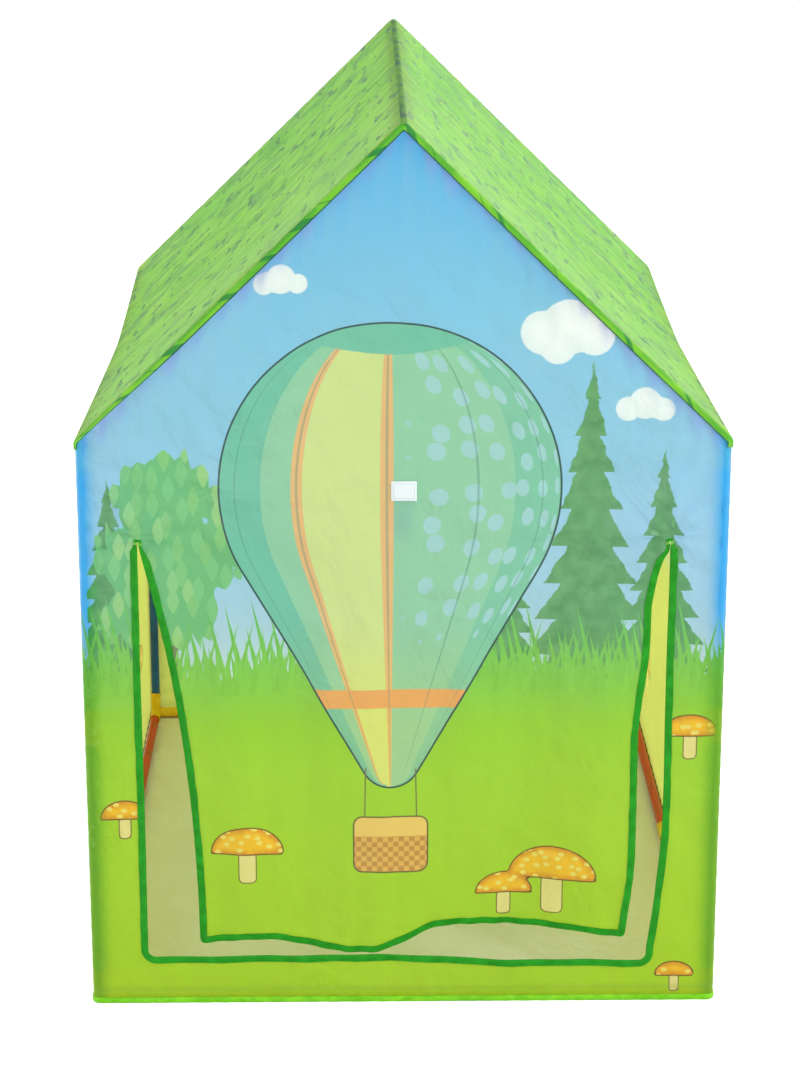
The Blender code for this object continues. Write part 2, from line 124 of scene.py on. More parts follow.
class Thread:
    """A shader value. Sums and comparisons of threads add the Math nodes that work them out."""

    def __init__(self, dye, socket):
        self.dye = dye
        self.socket = socket

    def math(self, operation, *others, capped=False):
        inputs = dict(enumerate([self, *others]))
        return self.dye.node("ShaderNodeMath", {"operation": operation, "use_clamp": capped}, inputs)

    def __add__(self, other):
        return self.math("ADD", other)

    def __sub__(self, other):
        return self.math("SUBTRACT", other)

    def __rsub__(self, other):
        return (self * -1).math("ADD", other)

    def __mul__(self, other):
        return self.math("MULTIPLY", other)

    __radd__ = __add__
    __rmul__ = __mul__

    def __truediv__(self, other):
        return self.math("DIVIDE", other)

    def __abs__(self):
        return self.math("ABSOLUTE")

    def capped(self):
        return self.math("ADD", 0.0, capped=True)

    def floor(self):
        return self.math("FLOOR")

    def lowest(self, other):
        return self.math("MINIMUM", other)

    def highest(self, other):
        return self.math("MAXIMUM", other)

    def sine(self):
        return self.math("SINE")

    def repeat(self):
        """Runs from 0 to 1 again and again."""
        return self - self.floor()

    def inside(self, soft=0.0006):
        """1 where a distance is below nothing, 0 above it, over a soft edge."""
        return (0.5 - self * (1 / soft)).capped()

    def line(self, half, soft):
        """1 on a line that is half wide on either side of nothing, over a soft edge."""
        return (abs(self) - half).inside(soft)


# %% [markdown]
# A dye bath is one material under work, and at the end also the light of the room. It has one method
# for any node, and short ones for what the cloth needs again and again: a colour laid over another by
# a mask, a noise read at a place, and the surfaces that a finish is mixed from.

# %% One material under work
MIX_FACTOR, MIX_GROUND, MIX_COLOUR, MIX_RESULT = 0, 6, 7, 2


def srgb(red, green, blue):
    """A colour as a picture program names it, turned into the shader's light values."""
    shares = [value / 255 for value in (red, green, blue)]
    light = [s / 12.92 if s <= 0.04045 else ((s + 0.055) / 1.055) ** 2.4 for s in shares]
    return (*light, 1.0)


class Dye:
    """A material or a world being mixed."""

    def __init__(self, name, holder=None):
        self.holder = holder or bpy.data.materials.new(name)
        self.holder.use_nodes = True
        self.tree = self.holder.node_tree
        self.tree.nodes.clear()

    def node(self, kind, settings=None, inputs=None, output=0):
        made = self.tree.nodes.new(kind)
        for key, value in (settings or {}).items():
            if key == "stops":
                ramp = made.color_ramp.elements
                while len(ramp) < len(value):
                    ramp.new(1.0)
                for stop, (place, colour) in zip(ramp, value):
                    stop.position = place
                    stop.color = colour
            else:
                setattr(made, key, value)
        for key, value in (inputs or {}).items():
            if isinstance(value, Thread):
                self.tree.links.new(value.socket, made.inputs[key])
            else:
                made.inputs[key].default_value = value
        return Thread(self, made.outputs[output])

    def lay(self, ground, colour, mask):
        """Colour laid over a ground where the mask is 1."""
        inputs = {MIX_FACTOR: mask, MIX_GROUND: ground, MIX_COLOUR: colour}
        return self.node("ShaderNodeMix", {"data_type": "RGBA"}, inputs, MIX_RESULT)

    def shade(self, ground, factor):
        """A ground made lighter or darker by a factor near 1."""
        grey = self.node("ShaderNodeCombineColor", {}, {0: factor, 1: factor, 2: factor})
        settings = {"data_type": "RGBA", "blend_type": "MULTIPLY"}
        inputs = {MIX_FACTOR: 1.0, MIX_GROUND: ground, MIX_COLOUR: grey}
        return self.node("ShaderNodeMix", settings, inputs, MIX_RESULT)

    def ramp(self, value, *stops):
        """A colour read off a row of (place, colour) stops."""
        return self.node("ShaderNodeValToRGB", {"stops": stops}, {0: value})

    def attribute(self, name, output="Fac"):
        return self.node("ShaderNodeAttribute", {"attribute_name": name}, {}, output)

    def place(self):
        """The object's own coordinates."""
        return self.node("ShaderNodeTexCoord", {}, {}, "Object")

    def split(self, vector):
        """The three numbers of a vector, or of a colour."""
        return [self.node("ShaderNodeSeparateXYZ", {}, {0: vector}, axis) for axis in "XYZ"]

    def point(self, x=0.0, y=0.0, z=0.0):
        return self.node("ShaderNodeCombineXYZ", {}, {0: x, 1: y, 2: z})

    def noise(self, place, scale, detail=2.0, warp=0.0):
        inputs = {"Vector": place, "Scale": scale, "Detail": detail, "Distortion": warp}
        return self.node("ShaderNodeTexNoise", {}, inputs)

    def cells(self, place, output="Distance", pointed=2.0, loose=1.0):
        """Distance to the nearest of many points. Below 2, pointed makes the spots pointed.

        The points are scattered when loose is 1, and on a square grid when it is 0.
        """
        settings = {"voronoi_dimensions": "2D", "distance": "MINKOWSKI"}
        inputs = {"Vector": place, "Scale": 1.0, "Exponent": pointed, "Randomness": loose}
        return self.node("ShaderNodeTexVoronoi", settings, inputs, output)

    def dice(self, value, output="Value"):
        """A random number that stays the same for the same value."""
        settings = {"noise_dimensions": "1D"}
        return self.node("ShaderNodeTexWhiteNoise", settings, {"W": value}, output)

    def bump(self, height, distance, strength=1.0, under=None):
        inputs = {"Height": height, "Distance": distance, "Strength": strength}
        if under is not None:
            inputs["Normal"] = under
        return self.node("ShaderNodeBump", {}, inputs)

    def coat(self, colour, roughness, normal, extra=None):
        """A Principled surface, with any extra sockets."""
        inputs = {"Base Color": colour, "Roughness": roughness, "Normal": normal}
        inputs.update(extra or {})
        return self.node("ShaderNodeBsdfPrincipled", {}, inputs)

    def glow(self, light, normal):
        """Light of one colour that comes through from behind."""
        return self.node("ShaderNodeBsdfTranslucent", {}, {"Color": light, "Normal": normal})

    def blend(self, share, first, second):
        """Two surfaces mixed. share is how much there is of the second."""
        return self.node("ShaderNodeMixShader", {}, {0: share, 1: first, 2: second})

    def finish(self, surface, kind="ShaderNodeOutputMaterial"):
        way_out = self.tree.nodes.new(kind)
        self.tree.links.new(surface.socket, way_out.inputs["Surface"])
        return self.holder


# %% [markdown]
# Thin polyester is two things at once: a satin skin that reflects, and a screen that lets light
# through. A Principled shader does the first, a Translucent one the second, and a Mix Shader adds
# them. Dark dye lets less light through than pale dye, so the share can follow the print. The inner
# face lets more through, because its light has already passed the outer one.

# %% The polyester shader


def polyester(dye, colour, normal, light, roughness, through, gloss=0.42, upper=None):
    """Satin cloth. through is the share of light it lets in, light the colour which that light gets.

    upper is a second such colour, and a mask that is 1 where it holds.
    """
    satin = {"Specular IOR Level": gloss, "Sheen Weight": gloss * 0.25, "Sheen Roughness": 0.45}
    skin = dye.coat(colour, roughness, normal, satin)
    glow = dye.glow(light, normal)
    if upper is not None:
        glow = dye.blend(upper[1], glow, dye.glow(upper[0], normal))
    return dye.finish(dye.blend(through, skin, glow))


CREASE_DEPTH = 0.0105
WEAVE_DEPTH = 0.00002
WEAVE_TURN = 5200.0


def crumple(dye, u, v, strength=1.0):
    """Bump of soft creases left by the packing, over the fine weave."""
    tilted = dye.point(u + v * 0.55, v * 0.42 - u * 0.3)
    soft = dye.noise(tilted, 17.0, 3.0, 0.9)
    sharp = abs(dye.noise(dye.point(u, v, 3.0), 9.0, 4.0, 0.5) - 0.5)
    lift = soft * 0.7 + sharp * 1.6
    handled = ((dye.noise(dye.point(u, v, 11.0), 4.5, 1.0) - 0.42) * 5.0).capped() * 0.75 + 0.25
    creases = dye.bump(lift * handled, CREASE_DEPTH * strength, 0.8)
    weave = (u * WEAVE_TURN).sine() * (v * WEAVE_TURN).sine()
    return dye.bump(weave, WEAVE_DEPTH, 0.5, under=creases)


# %% [markdown]
# The print is a picture on the flat cloth, so it is drawn in flat cloth coordinates, which each sheet
# carries with it as an attribute named cloth. Its large shapes are distances to outlines, worked out
# once for each point of the mesh. Small ones, such as leaves and grass, are drawn by the shader.
#
# The landscape is a summer meadow under a blue sky, with fir trees, a leafy tree, toadstools and a
# hot-air balloon over the door.

# %% Grass, leaves and firs drawn by the shader


def grass_blades(dye, u, v, pitch, root, low, high, tilt, seed):
    """Mask of a row of pointed blades that stand on a root height and lean by tilt."""
    leaning = u + (v - root) * tilt
    column = (leaning * (1 / pitch) + seed).floor()
    luck = dye.split(dye.dice(column, "Color"))
    tall = luck[0] * (high - low) + low
    rise = (v - root) / tall
    middle = (column + 0.5 - seed + (luck[1] - 0.5) * 0.5) * pitch
    half = (1.0 - rise) * (pitch * 0.46)
    return (abs(leaning - middle) - half).inside(0.0007)


ROWS_OF_BRANCHES = 9.0


def fir_tree(u, v, middle, root, height, spread):
    """Mask of one fir: a narrow triangle whose edge steps out with each row of branches."""
    rise = (v - root) * (1 / height)
    step = (rise * ROWS_OF_BRANCHES).repeat()
    half = (1.0 - rise) * spread * (1.0 - step * 0.42)
    return (abs(u - middle) - half).inside(0.0012) * (v * -1 + root).inside(0.0012)


# Places in the print are metres on the cloth: across from its middle, and up from the ground.
# A fir is its middle, root, height and spread. A row of grass is the pitch of its blades, their
# root, their least and greatest height, their lean, and a seed.
BALLOON_X = -0.015
MEADOW = 0.396
FIRS = (
    (0.205, 0.38, 0.38, 0.078),
    (0.285, 0.37, 0.29, 0.064),
    (0.105, 0.39, 0.26, 0.052),
    (-0.325, 0.38, 0.25, 0.055),
    (-0.43, 0.38, 0.22, 0.06),
    (0.40, 0.38, 0.24, 0.058),
)
GRASS = (
    (0.0095, MEADOW, 0.030, 0.105, 0.22, 3.3),
    (0.0078, MEADOW - 0.002, 0.02, 0.085, -0.26, 8.1),
    (0.0066, MEADOW - 0.005, 0.02, 0.070, 0.05, 15.7),
    (0.0085, MEADOW - 0.014, 0.02, 0.065, -0.1, 21.4),
)
print("firs", len(FIRS), "rows of grass", len(GRASS))

# %% [markdown]
# The colours of the print are laid one over the other, as a screen printer would. Each function takes
# the paint so far and returns it with one more motif. The balloon is sewn from gores, strips that meet
# at its crown. The mesh carries the angle round the balloon, so a gore is a range of that angle.

# %% The balloon


GORE_WIDTH = 0.56
CREAM_SHIFT = 0.30
LIGHT_GREEN = srgb(134, 202, 166)
DEEP_GREEN = srgb(84, 182, 160)


def balloon_cloth(dye, gore, u, v):
    """The balloon's colours: a shaded edge, a cream gore with peach seams, pale dots and two bands."""
    cloth = dye.lay(LIGHT_GREEN, DEEP_GREEN, (gore + 0.86).inside(0.004))
    cloth = dye.lay(cloth, srgb(106, 190, 162), (0.82 - gore).inside(0.004))
    cloth = dye.lay(cloth, srgb(232, 172, 104), (gore + CREAM_SHIFT).line(0.32, 0.002))
    cloth = dye.lay(cloth, srgb(226, 234, 136), (gore + CREAM_SHIFT).line(0.24, 0.002))
    dots = dye.cells(dye.point(gore * 4.6, v * 28.0), loose=0.55)
    size = ((gore - 0.06) * 6.0).capped() * ((v - 0.42) * 20.0).capped()
    spotted = (dots - size * 0.30 + 0.02).inside(0.02)
    cloth = dye.lay(cloth, srgb(166, 214, 232), spotted * 0.9)
    cloth = dye.lay(cloth, srgb(226, 150, 84), (v - 0.372).line(0.011, 0.001))
    turn = gore * (1 / GORE_WIDTH) + 0.5 + CREAM_SHIFT / GORE_WIDTH
    seam = abs(turn.repeat() - 0.5) - 0.485
    cloth = dye.lay(cloth, srgb(66, 120, 110), (seam * -1).inside(0.012) * 0.55)
    off_middle = u - BALLOON_X
    crown_edge = off_middle * off_middle * 1.6 + 0.768
    return dye.lay(cloth, DEEP_GREEN, (crown_edge - v).inside(0.001))


def balloon_paint(dye, paint, u, v):
    """The hot-air balloon over the rest of the print: hull, ropes and basket."""
    hull = dye.attribute("hull")
    paint = dye.lay(paint, balloon_cloth(dye, dye.attribute("gore"), u, v), hull.inside())
    paint = dye.lay(paint, srgb(30, 60, 62), hull.line(0.0011, 0.0007))
    paint = dye.lay(paint, srgb(96, 92, 60), dye.attribute("ropes").line(0.0008, 0.0008))
    basket = dye.attribute("basket")
    cane = (u * 520.0).sine() * (v * 520.0).sine()
    wicker = dye.lay(srgb(214, 160, 84), srgb(178, 120, 56), (cane * -1).inside(0.6))
    wicker = dye.lay(wicker, srgb(236, 190, 110), (0.206 - v).inside(0.001))
    paint = dye.lay(paint, wicker, basket.inside())
    return dye.lay(paint, srgb(84, 70, 40), basket.line(0.0009, 0.0008))


# %% [markdown]
# The tree's crown is ragged, because the pattern of its leaves is added to the distance from which
# its edge is cut. A toadstool is a stem and a cap, each filled and then outlined in brown.

# %% The leafy tree and the toadstools


LEAF_GREENS = ((0.2, srgb(112, 190, 96)), (0.5, srgb(96, 190, 110)), (0.8, srgb(146, 208, 110)))


def leafy_tree(dye, paint, u, v):
    """A trunk, and a crown of pointed leaves that also gives the crown its edge."""
    place = dye.point(u * 64.0, v * 28.0)
    leafy = dye.cells(place, pointed=1.3)
    luck = dye.split(dye.cells(place, output="Color", pointed=1.3))[0]
    leaves = dye.lay(srgb(82, 176, 100), dye.ramp(luck, *LEAF_GREENS), (leafy - 0.44).inside(0.05))
    edge = dye.attribute("crown") + (leafy - 0.4) * 0.022
    paint = dye.lay(paint, srgb(104, 118, 72), dye.attribute("trunk").inside())
    return dye.lay(paint, leaves, edge.inside(0.001))


def toadstool_paint(dye, paint, wobble, u, v):
    """Toadstools: a pale stem and a spotted cap, each with a brown outline."""
    cap = dye.attribute("cap")
    stem = dye.attribute("stem")
    paint = dye.lay(paint, srgb(238, 222, 160), stem.inside())
    paint = dye.lay(paint, srgb(110, 84, 40), stem.line(0.0007, 0.0007))
    warm = dye.ramp(cap * -60 + wobble * 0.5, (0.35, srgb(208, 132, 20)), (0.75, srgb(240, 176, 16)))
    spots = dye.cells(dye.point(u * 70.0, v * 90.0))
    warm = dye.lay(warm, srgb(250, 220, 120), (spots - 0.24).inside(0.04))
    paint = dye.lay(paint, warm, cap.inside())
    return dye.lay(paint, srgb(96, 60, 20), cap.line(0.0008, 0.0007))


# %% [markdown]
# The whole print is laid from the back to the front: the sky in bands that pale towards the horizon,
# clouds, firs, the leafy tree, the meadow with blades of grass over its upper edge, the balloon, and
# the toadstools.

# %% The whole print


PRINT_TOP = 1.02
SKY = (
    (0.38, srgb(198, 222, 243)),
    (0.48, srgb(161, 206, 243)),
    (0.62, srgb(138, 198, 242)),
    (0.78, srgb(112, 189, 238)),
    (0.98, srgb(54, 166, 231)),
)
MEADOW_GREENS = (
    (0.02, srgb(138, 206, 16)),
    (0.14, srgb(136, 206, 24)),
    (0.28, srgb(128, 208, 40)),
    (0.38, srgb(98, 196, 34)),
    (0.47, srgb(78, 182, 32)),
)
def landscape(dye, u, v):
    """The whole print, as one colour."""
    high = v * (1 / PRINT_TOP)
    cloud = dye.attribute("cloud")
    lit = dye.ramp(cloud * -20 + 0.1, (0.0, srgb(232, 240, 246)), (0.7, srgb(255, 255, 255)))
    paint = dye.lay(dye.ramp(high, *SKY), lit, cloud.inside(0.0012))
    wobble = dye.noise(dye.point(u, v), 60.0)
    fir_green = dye.ramp(wobble, (0.3, srgb(62, 130, 72)), (0.7, srgb(84, 152, 88)))
    ragged = u + (wobble - 0.5) * 0.012
    for middle, root, height, spread in FIRS:
        paint = dye.lay(paint, fir_green, fir_tree(ragged, v, middle, root, height, spread))
    paint = leafy_tree(dye, paint, u, v)
    streak = dye.noise(dye.point(u * 6.0, v * 0.9), 9.0, 3.0)
    meadow = dye.shade(dye.ramp(high, *MEADOW_GREENS), streak * 0.12 + 0.94)
    paint = dye.lay(paint, meadow, (v - MEADOW).inside(0.004))
    for pitch, root, low, high_blade, tilt, seed in GRASS:
        blades = grass_blades(dye, u, v, pitch, root, low, high_blade, tilt, seed)
        tone = dye.dice((u * (1 / pitch) + seed).floor())
        light = dye.shade(meadow, tone * 0.16 + 0.90)
        paint = dye.lay(paint, light, blades * (v * -1 + root - 0.004).inside(0.004))
    paint = balloon_paint(dye, paint, u, v)
    return toadstool_paint(dye, paint, wobble, u, v)


# %% [markdown]
# The wall cloth adds painted shade to the print where the tent shades it: deeper colour where the
# corner posts stand behind it, a darker line where the ground tubes do, and a bluish shade in the
# puckers under the gables. The light that comes through is yellow over the meadow and blue over the
# sky. White clouds let less through, or they would glare.

# %% The wall cloth
MEADOW_LIGHT = srgb(242, 236, 128)
SKY_LIGHT = srgb(206, 230, 252)
ROOF_LIGHT = srgb(218, 244, 170)
LINING_LIGHT = srgb(254, 252, 246)
TUBE_TOP = 0.017


def lightness(dye, colour):
    """How pale a colour is, read off its green, which the eye takes most of it from."""
    return dye.node("ShaderNodeSeparateColor", {}, {0: colour}, "Green")


def printed_cloth(name, inside=False):
    """The wall cloth. Inside the tent the same print shows through, paler and warmer.

    A painted shade deepens its colour over the corner posts, and darkens it over the ground tubes.
    """
    dye = Dye(name)
    u, v, margin = dye.split(dye.attribute("cloth", "Vector"))
    paint = landscape(dye, u, v)
    # Painted shade: a bluish shade laid in the puckers right under the gable's lip.
    paint = dye.lay(paint, srgb(126, 148, 226), dye.attribute("pucker") * 0.6)
    if inside:
        worn = dye.lay(paint, srgb(226, 234, 70), 0.38)
        return polyester(dye, worn, crumple(dye, u, v), LINING_LIGHT, roughness=0.6, through=0.92)
    # Painted shade where a corner post stands behind the cloth: deeper colour, and darker green over
    # the meadow.
    post_shade = dye.node("ShaderNodeHueSaturation", {}, {"Saturation": 1.75, "Value": 1.0, "Color": paint})
    paint = dye.lay(paint, post_shade, margin * 0.95)
    above = (MEADOW + 0.004 - v).inside(0.12)
    paint = dye.lay(paint, srgb(76, 150, 22), margin * (1 - above) * 0.7)
    mottle = dye.noise(dye.point(u, v, 7.0), 5.0)
    paint = dye.shade(paint, mottle * 0.07 + 0.985)
    # Painted shade: a darker green line where the ground tube stands behind the cloth.
    paint = dye.lay(paint, srgb(96, 166, 62), (v - TUBE_TOP).line(0.003, 0.007) * 0.4)
    through = (lightness(dye, paint) * 0.75).lowest(0.50)
    through = through - dye.attribute("cloud").inside(0.0012) * 0.16
    normal = crumple(dye, u, v, strength=1.25)
    rough = mottle * 0.12 + 0.30
    return polyester(dye, paint, normal, MEADOW_LIGHT, rough, through, upper=(SKY_LIGHT, above))


WALL_FINISH = printed_cloth("printed wall cloth")
WALL_LINING = printed_cloth("printed wall cloth, inner face", inside=True)
print("wall cloth mixed,", len(WALL_FINISH.node_tree.nodes), "nodes")

# %% [markdown]
# The roof has another print, like thatch: broad patches and strokes of light and dark green down the
# slope, and tufts of dark straws across it. Towards the front it is made paler, a painted light where
# more light falls. Its hems, folded over the gables and the eaves, are a bright green band with dark
# leaves, and a dark line of painted shadow at the very edge, where the lip stands off the wall.
# Here the attribute cloth holds the place along the ridge, the place down the slope, and 1 on a hem.

# %% The roof cloth


def roof_hem(dye, along, down):
    """Hem colours: two greens side by side along the gables, with a painted shadow line at the edge."""
    patchy = dye.noise(dye.point(along * 0.3, down), 17.0)
    hem = dye.ramp(patchy, (0.38, srgb(98, 198, 34)), (0.60, srgb(140, 226, 38)))
    shady = dye.noise(dye.point(down, 0.0, 9.0), 15.0, 1.0)
    upper_half = (abs(along) - LIP_END + GABLE_LIP * 0.6).inside(0.0007)
    hem = dye.lay(hem, srgb(60, 168, 34), upper_half * (shady - 0.54).inside(0.05) * 0.7)
    leaf = dye.noise(dye.point(down + along * 1.8, 0.0, 5.0), 36.0, 1.0)
    hem = dye.lay(hem, srgb(22, 132, 62), (0.585 - leaf).inside(0.02) * 0.9)
    # Painted shadow: a dark line along the lip's edge, where it stands off the wall.
    return dye.lay(hem, srgb(24, 60, 66), (LIP_END - 0.0011 - abs(along)).inside(0.0004))


def roof_cloth(name, inside=False):
    """The thatch print, and its hems."""
    dye = Dye(name)
    along, down, band = dye.split(dye.attribute("cloth", "Vector"))
    broad = dye.noise(dye.point(along * 14.0, down * 18.0), 1.0, 3.0)
    stops = ((0.41, srgb(86, 170, 72)), (0.47, srgb(96, 204, 40)), (0.66, srgb(116, 214, 52)))
    ground = dye.ramp(broad, *stops)
    strokes = dye.noise(dye.point(along * 66.0, down * 15.0, 4.0), 1.0, 2.0, 0.2)
    ground = dye.lay(ground, srgb(72, 156, 58), (strokes - 0.44).inside(0.04) * 0.7)
    ground = dye.lay(ground, srgb(164, 226, 98), (0.57 - strokes).inside(0.04) * 0.75)
    # Painted light: the slope is made paler towards the front gable, where more light falls on it.
    y = dye.split(dye.place())[1]
    front = ((-0.02 - y) * 2.6).capped()
    ground = dye.lay(ground, srgb(182, 232, 150), front * 0.24)
    tufts = dye.noise(dye.point(along * 20.0, down * 62.0, 2.0), 1.0, 1.0)
    straws = dye.noise(dye.point(along * 84.0 + down * 16.0, down * 40.0, 9.0), 1.0, 1.0)
    dark = (0.61 - tufts).inside(0.02) * (straws - 0.50).inside(0.04)
    ground = dye.lay(ground, srgb(36, 100, 68), dark * 0.85)
    ground = dye.lay(ground, roof_hem(dye, along, down), band)
    if inside:
        worn = dye.lay(ground, srgb(240, 242, 160), 0.45)
        normal = crumple(dye, along, down)
        return polyester(dye, worn, normal, LINING_LIGHT, roughness=0.6, through=0.90, gloss=0.2)
    through = (lightness(dye, ground) * 0.85).lowest(0.5)
    normal = crumple(dye, along, down, strength=0.5)
    return polyester(dye, ground, normal, ROOF_LIGHT, roughness=0.5, through=through, gloss=0.15)


ROOF_FINISH = roof_cloth("thatch print roof cloth")
ROOF_LINING = roof_cloth("thatch print roof cloth, inner face", inside=True)

# %% [markdown]
# The floor is plain beige polyester, thicker and duller than the walls. The tapes are green grosgrain,
# a woven ribbon with fine ribs across it, sewn along both edges. The hem at the foot is a brighter
# lime tape of the same make.

# %% Floor cloth and tapes


RIB_PITCH = 0.0011
TAPE_STITCH = 0.0042


def floor_cloth(name):
    dye = Dye(name)
    x, y, _ = dye.split(dye.attribute("cloth", "Vector"))
    stain = dye.noise(dye.point(x, y), 6.0, 4.0)
    colour = dye.ramp(stain, (0.3, srgb(246, 234, 228)), (0.7, srgb(254, 246, 246)))
    normal = crumple(dye, x, y, strength=1.2)
    return polyester(dye, colour, normal, LINING_LIGHT, roughness=0.62, through=0.1)


def grosgrain(name, dark, light, stitch):
    """Ribbed tape: attribute cloth holds the place along it, and across it from 0 to 1."""
    dye = Dye(name)
    along, across, _ = dye.split(dye.attribute("cloth", "Vector"))
    rib_height_and_shade = (along * (2 * pi / RIB_PITCH)).sine() * 0.5 + 0.5
    worn = dye.noise(dye.point(along, across * 0.01), 70.0, 3.0)
    # Painted light and shade: the colour is a little lighter on the rib crests and darker between them.
    colour = dye.shade(dye.ramp(worn, (0.34, dark), (0.68, light)), rib_height_and_shade * 0.10 + 0.95)
    dash = abs((along * (1 / TAPE_STITCH)).repeat() - 0.5) - 0.32
    stitches = dash.inside(0.1) * (across - 0.16).line(0.035, 0.03)
    colour = dye.lay(colour, stitch, stitches * 0.8)
    ribs = dye.bump(rib_height_and_shade, 0.00012, 0.8)
    normal = dye.bump(worn + stitches * 0.3, 0.0011, 0.5, under=ribs)
    return dye.finish(dye.coat(colour, 0.52, normal, {"Specular IOR Level": 0.2}))


def ridge_cloth(name):
    """The gathered ridge strip: roof green, with painted shade in its gathers and on its small folds.
    """
    dye = Dye(name)
    along, across, _ = dye.split(dye.attribute("cloth", "Vector"))
    drawn = dye.noise(dye.point(along, across * 0.012), 30.0, 1.0)
    stops = ((0.40, srgb(52, 96, 74)), (0.48, srgb(88, 142, 52)), (0.68, srgb(104, 168, 56)))
    puckers = dye.noise(dye.point(along, across * 0.02, 2.0), 190.0)
    # Painted shade: darker where the thread gathers the strip, and lighter and darker over the folds
    # that the bump raises.
    colour = dye.shade(dye.ramp(drawn, *stops), puckers * 0.5 + 0.72)
    normal = dye.bump(puckers, 0.0012, 0.7)
    return polyester(dye, colour, normal, ROOF_LIGHT, roughness=0.6, through=0.2, gloss=0.12)


FLOOR_FINISH = floor_cloth("beige floor cloth")
RIDGE_FINISH = ridge_cloth("gathered ridge strip")
TAPE_FINISH = grosgrain("green grosgrain tape", srgb(20, 128, 12), srgb(32, 150, 24), srgb(44, 168, 26))
HEM_FINISH = grosgrain("lime hem tape", srgb(108, 190, 20), srgb(136, 214, 40), srgb(90, 170, 30))

# %% [markdown]
# The tubes and sockets are moulded and drawn plastic. Drawn tubes carry faint lines along their
# length and small scuffs; moulded sockets are a little duller, with a fine spark-eroded grain. These
# parts keep their own shapes from the frame, and only get a finish.

# %% Plastic for the frame


def tube_plastic(name, colour, post_shade):
    dye = Dye(name)
    place = dye.place()
    scuffs = dye.noise(place, 45.0, 5.0, 0.4)
    lines = dye.noise(place, 900.0, 1.0)
    tone = dye.ramp(scuffs, (0.35, post_shade), (0.6, colour))
    normal = dye.bump(lines, 0.00005, 0.6)
    return dye.finish(dye.coat(tone, scuffs * 0.25 + 0.22, normal, {"Specular IOR Level": 0.5}))


def socket_plastic(name):
    dye = Dye(name)
    place = dye.place()
    grain = dye.noise(place, 1400.0)
    flow = dye.noise(place, 30.0, 2.0, 1.5)
    tone = dye.ramp(flow, (0.35, srgb(240, 186, 14)), (0.65, srgb(252, 204, 28)))
    return dye.finish(dye.coat(tone, flow * 0.2 + 0.32, dye.bump(grain, 0.00006, 0.8)))


PLASTICS = {
    "blue_tube": tube_plastic("blue tube plastic", srgb(4, 90, 188), srgb(2, 76, 164)),
    "red_tube": tube_plastic("red tube plastic", srgb(216, 34, 22), srgb(190, 26, 16)),
    "yellow_tube": tube_plastic("yellow tube plastic", srgb(242, 186, 16), srgb(228, 168, 10)),
    "yellow_socket": socket_plastic("yellow socket plastic"),
}
repainted = 0
for node in frame["nodes"].values():
    for held in node.material_slots:
        if held.name in PLASTICS:
            held.material = PLASTICS[held.name]
            repainted = repainted + 1
print("frame parts given plastic:", repainted)

# %% [markdown]
# Hook-and-loop tape is a mat of tiny nylon loops, sewn down by a line of stitches inside its border.
# Cells of a few tenths of a millimetre stand for the loops. The stitch line is drawn by the distance
# to the middle of the patch, in the object's own coordinates.

# %% Hook-and-loop tape


BORDER = 0.0026
STITCH_HALF = 0.0003


def loop_tape(name, middle, half_width, half_height, through=0.0):
    """Loops with a stitched border round a middle. through is the share of light they let in."""
    dye = Dye(name)
    place = dye.place()
    x, _, z = dye.split(place)
    loops = dye.node("ShaderNodeTexVoronoi", {}, {"Vector": place, "Scale": 2600.0})
    from_edge = (abs(x - middle[0]) - half_width).highest(abs(z - middle[1]) - half_height)
    row = (from_edge + BORDER).line(STITCH_HALF, 0.0003)
    dash = (abs(((x + z) * (1 / BORDER)).repeat() - 0.5) - 0.34).inside(0.08)
    colour = dye.ramp(loops, (0.1, srgb(206, 216, 219)), (0.6, srgb(224, 233, 235)))
    colour = dye.lay(colour, srgb(180, 190, 193), row * dash)
    normal = dye.bump(loops - row * dash * 2.0, 0.0003, 0.5)
    nylon = dye.coat(colour, 0.72, normal, {"Sheen Weight": 0.3})
    return dye.finish(dye.blend(through, nylon, dye.glow(LINING_LIGHT, normal)))


PATCH_LOW, PATCH_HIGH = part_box("loop_patch")
PATCH_Z = (PATCH_LOW.z + PATCH_HIGH.z) / 2
PATCH_SIZE = (PATCH_HIGH.x * 2, PATCH_HIGH.z - PATCH_LOW.z)
PATCH_FINISH = loop_tape("white loop tape", (0.0, PATCH_Z), PATCH_SIZE[0] / 2, PATCH_SIZE[1] / 2)
STRAP_FINISH = loop_tape("white hook tape strap", (0.0, 0.5), 0.4, 0.4, through=0.8)

# %% [markdown]
# Cloth is cut from a flat grid and then pulled into place. A fold is a smooth wave, a gather along a
# seam is a short wave that fades away from the thread, and a tack that takes all the pull sends folds
# out like the spokes of a wheel. A crease from the packing is a line where the slope turns at once.
# Where these are added up later, lengths are metres. The number that leads each line is the height of
# the fold, chosen by comparing pictures with the photograph.

# %% Folds, gathers, pulls and creases


def ease(value, start, end):
    """0 before start, 1 after end, smooth between them."""
    share = np.clip((value - start) / (end - start), 0, 1)
    return share * share * (3 - 2 * share)


def folds(u, v, size, seed):
    """Smooth folds between about -1 and 1, some size metres from crest to crest."""
    luck = np.random.default_rng(seed)
    total = 0 * u
    for _ in range(7):
        turn = luck.uniform(0, pi)
        wave = 2 * pi / size * luck.uniform(0.6, 1.5)
        total = total + np.sin(wave * (u * cos(turn) + v * sin(turn)) + luck.uniform(0, 2 * pi))
    return total * 0.26


def gathers(along, away, pitch, reach, seed):
    """Small puckers along a seam, that fade out away from it."""
    uneven = folds(along, 0 * along, pitch * 6, seed)
    return np.sin(2 * pi * along / pitch + 2.4 * uneven) * np.exp(-np.abs(away) / reach)


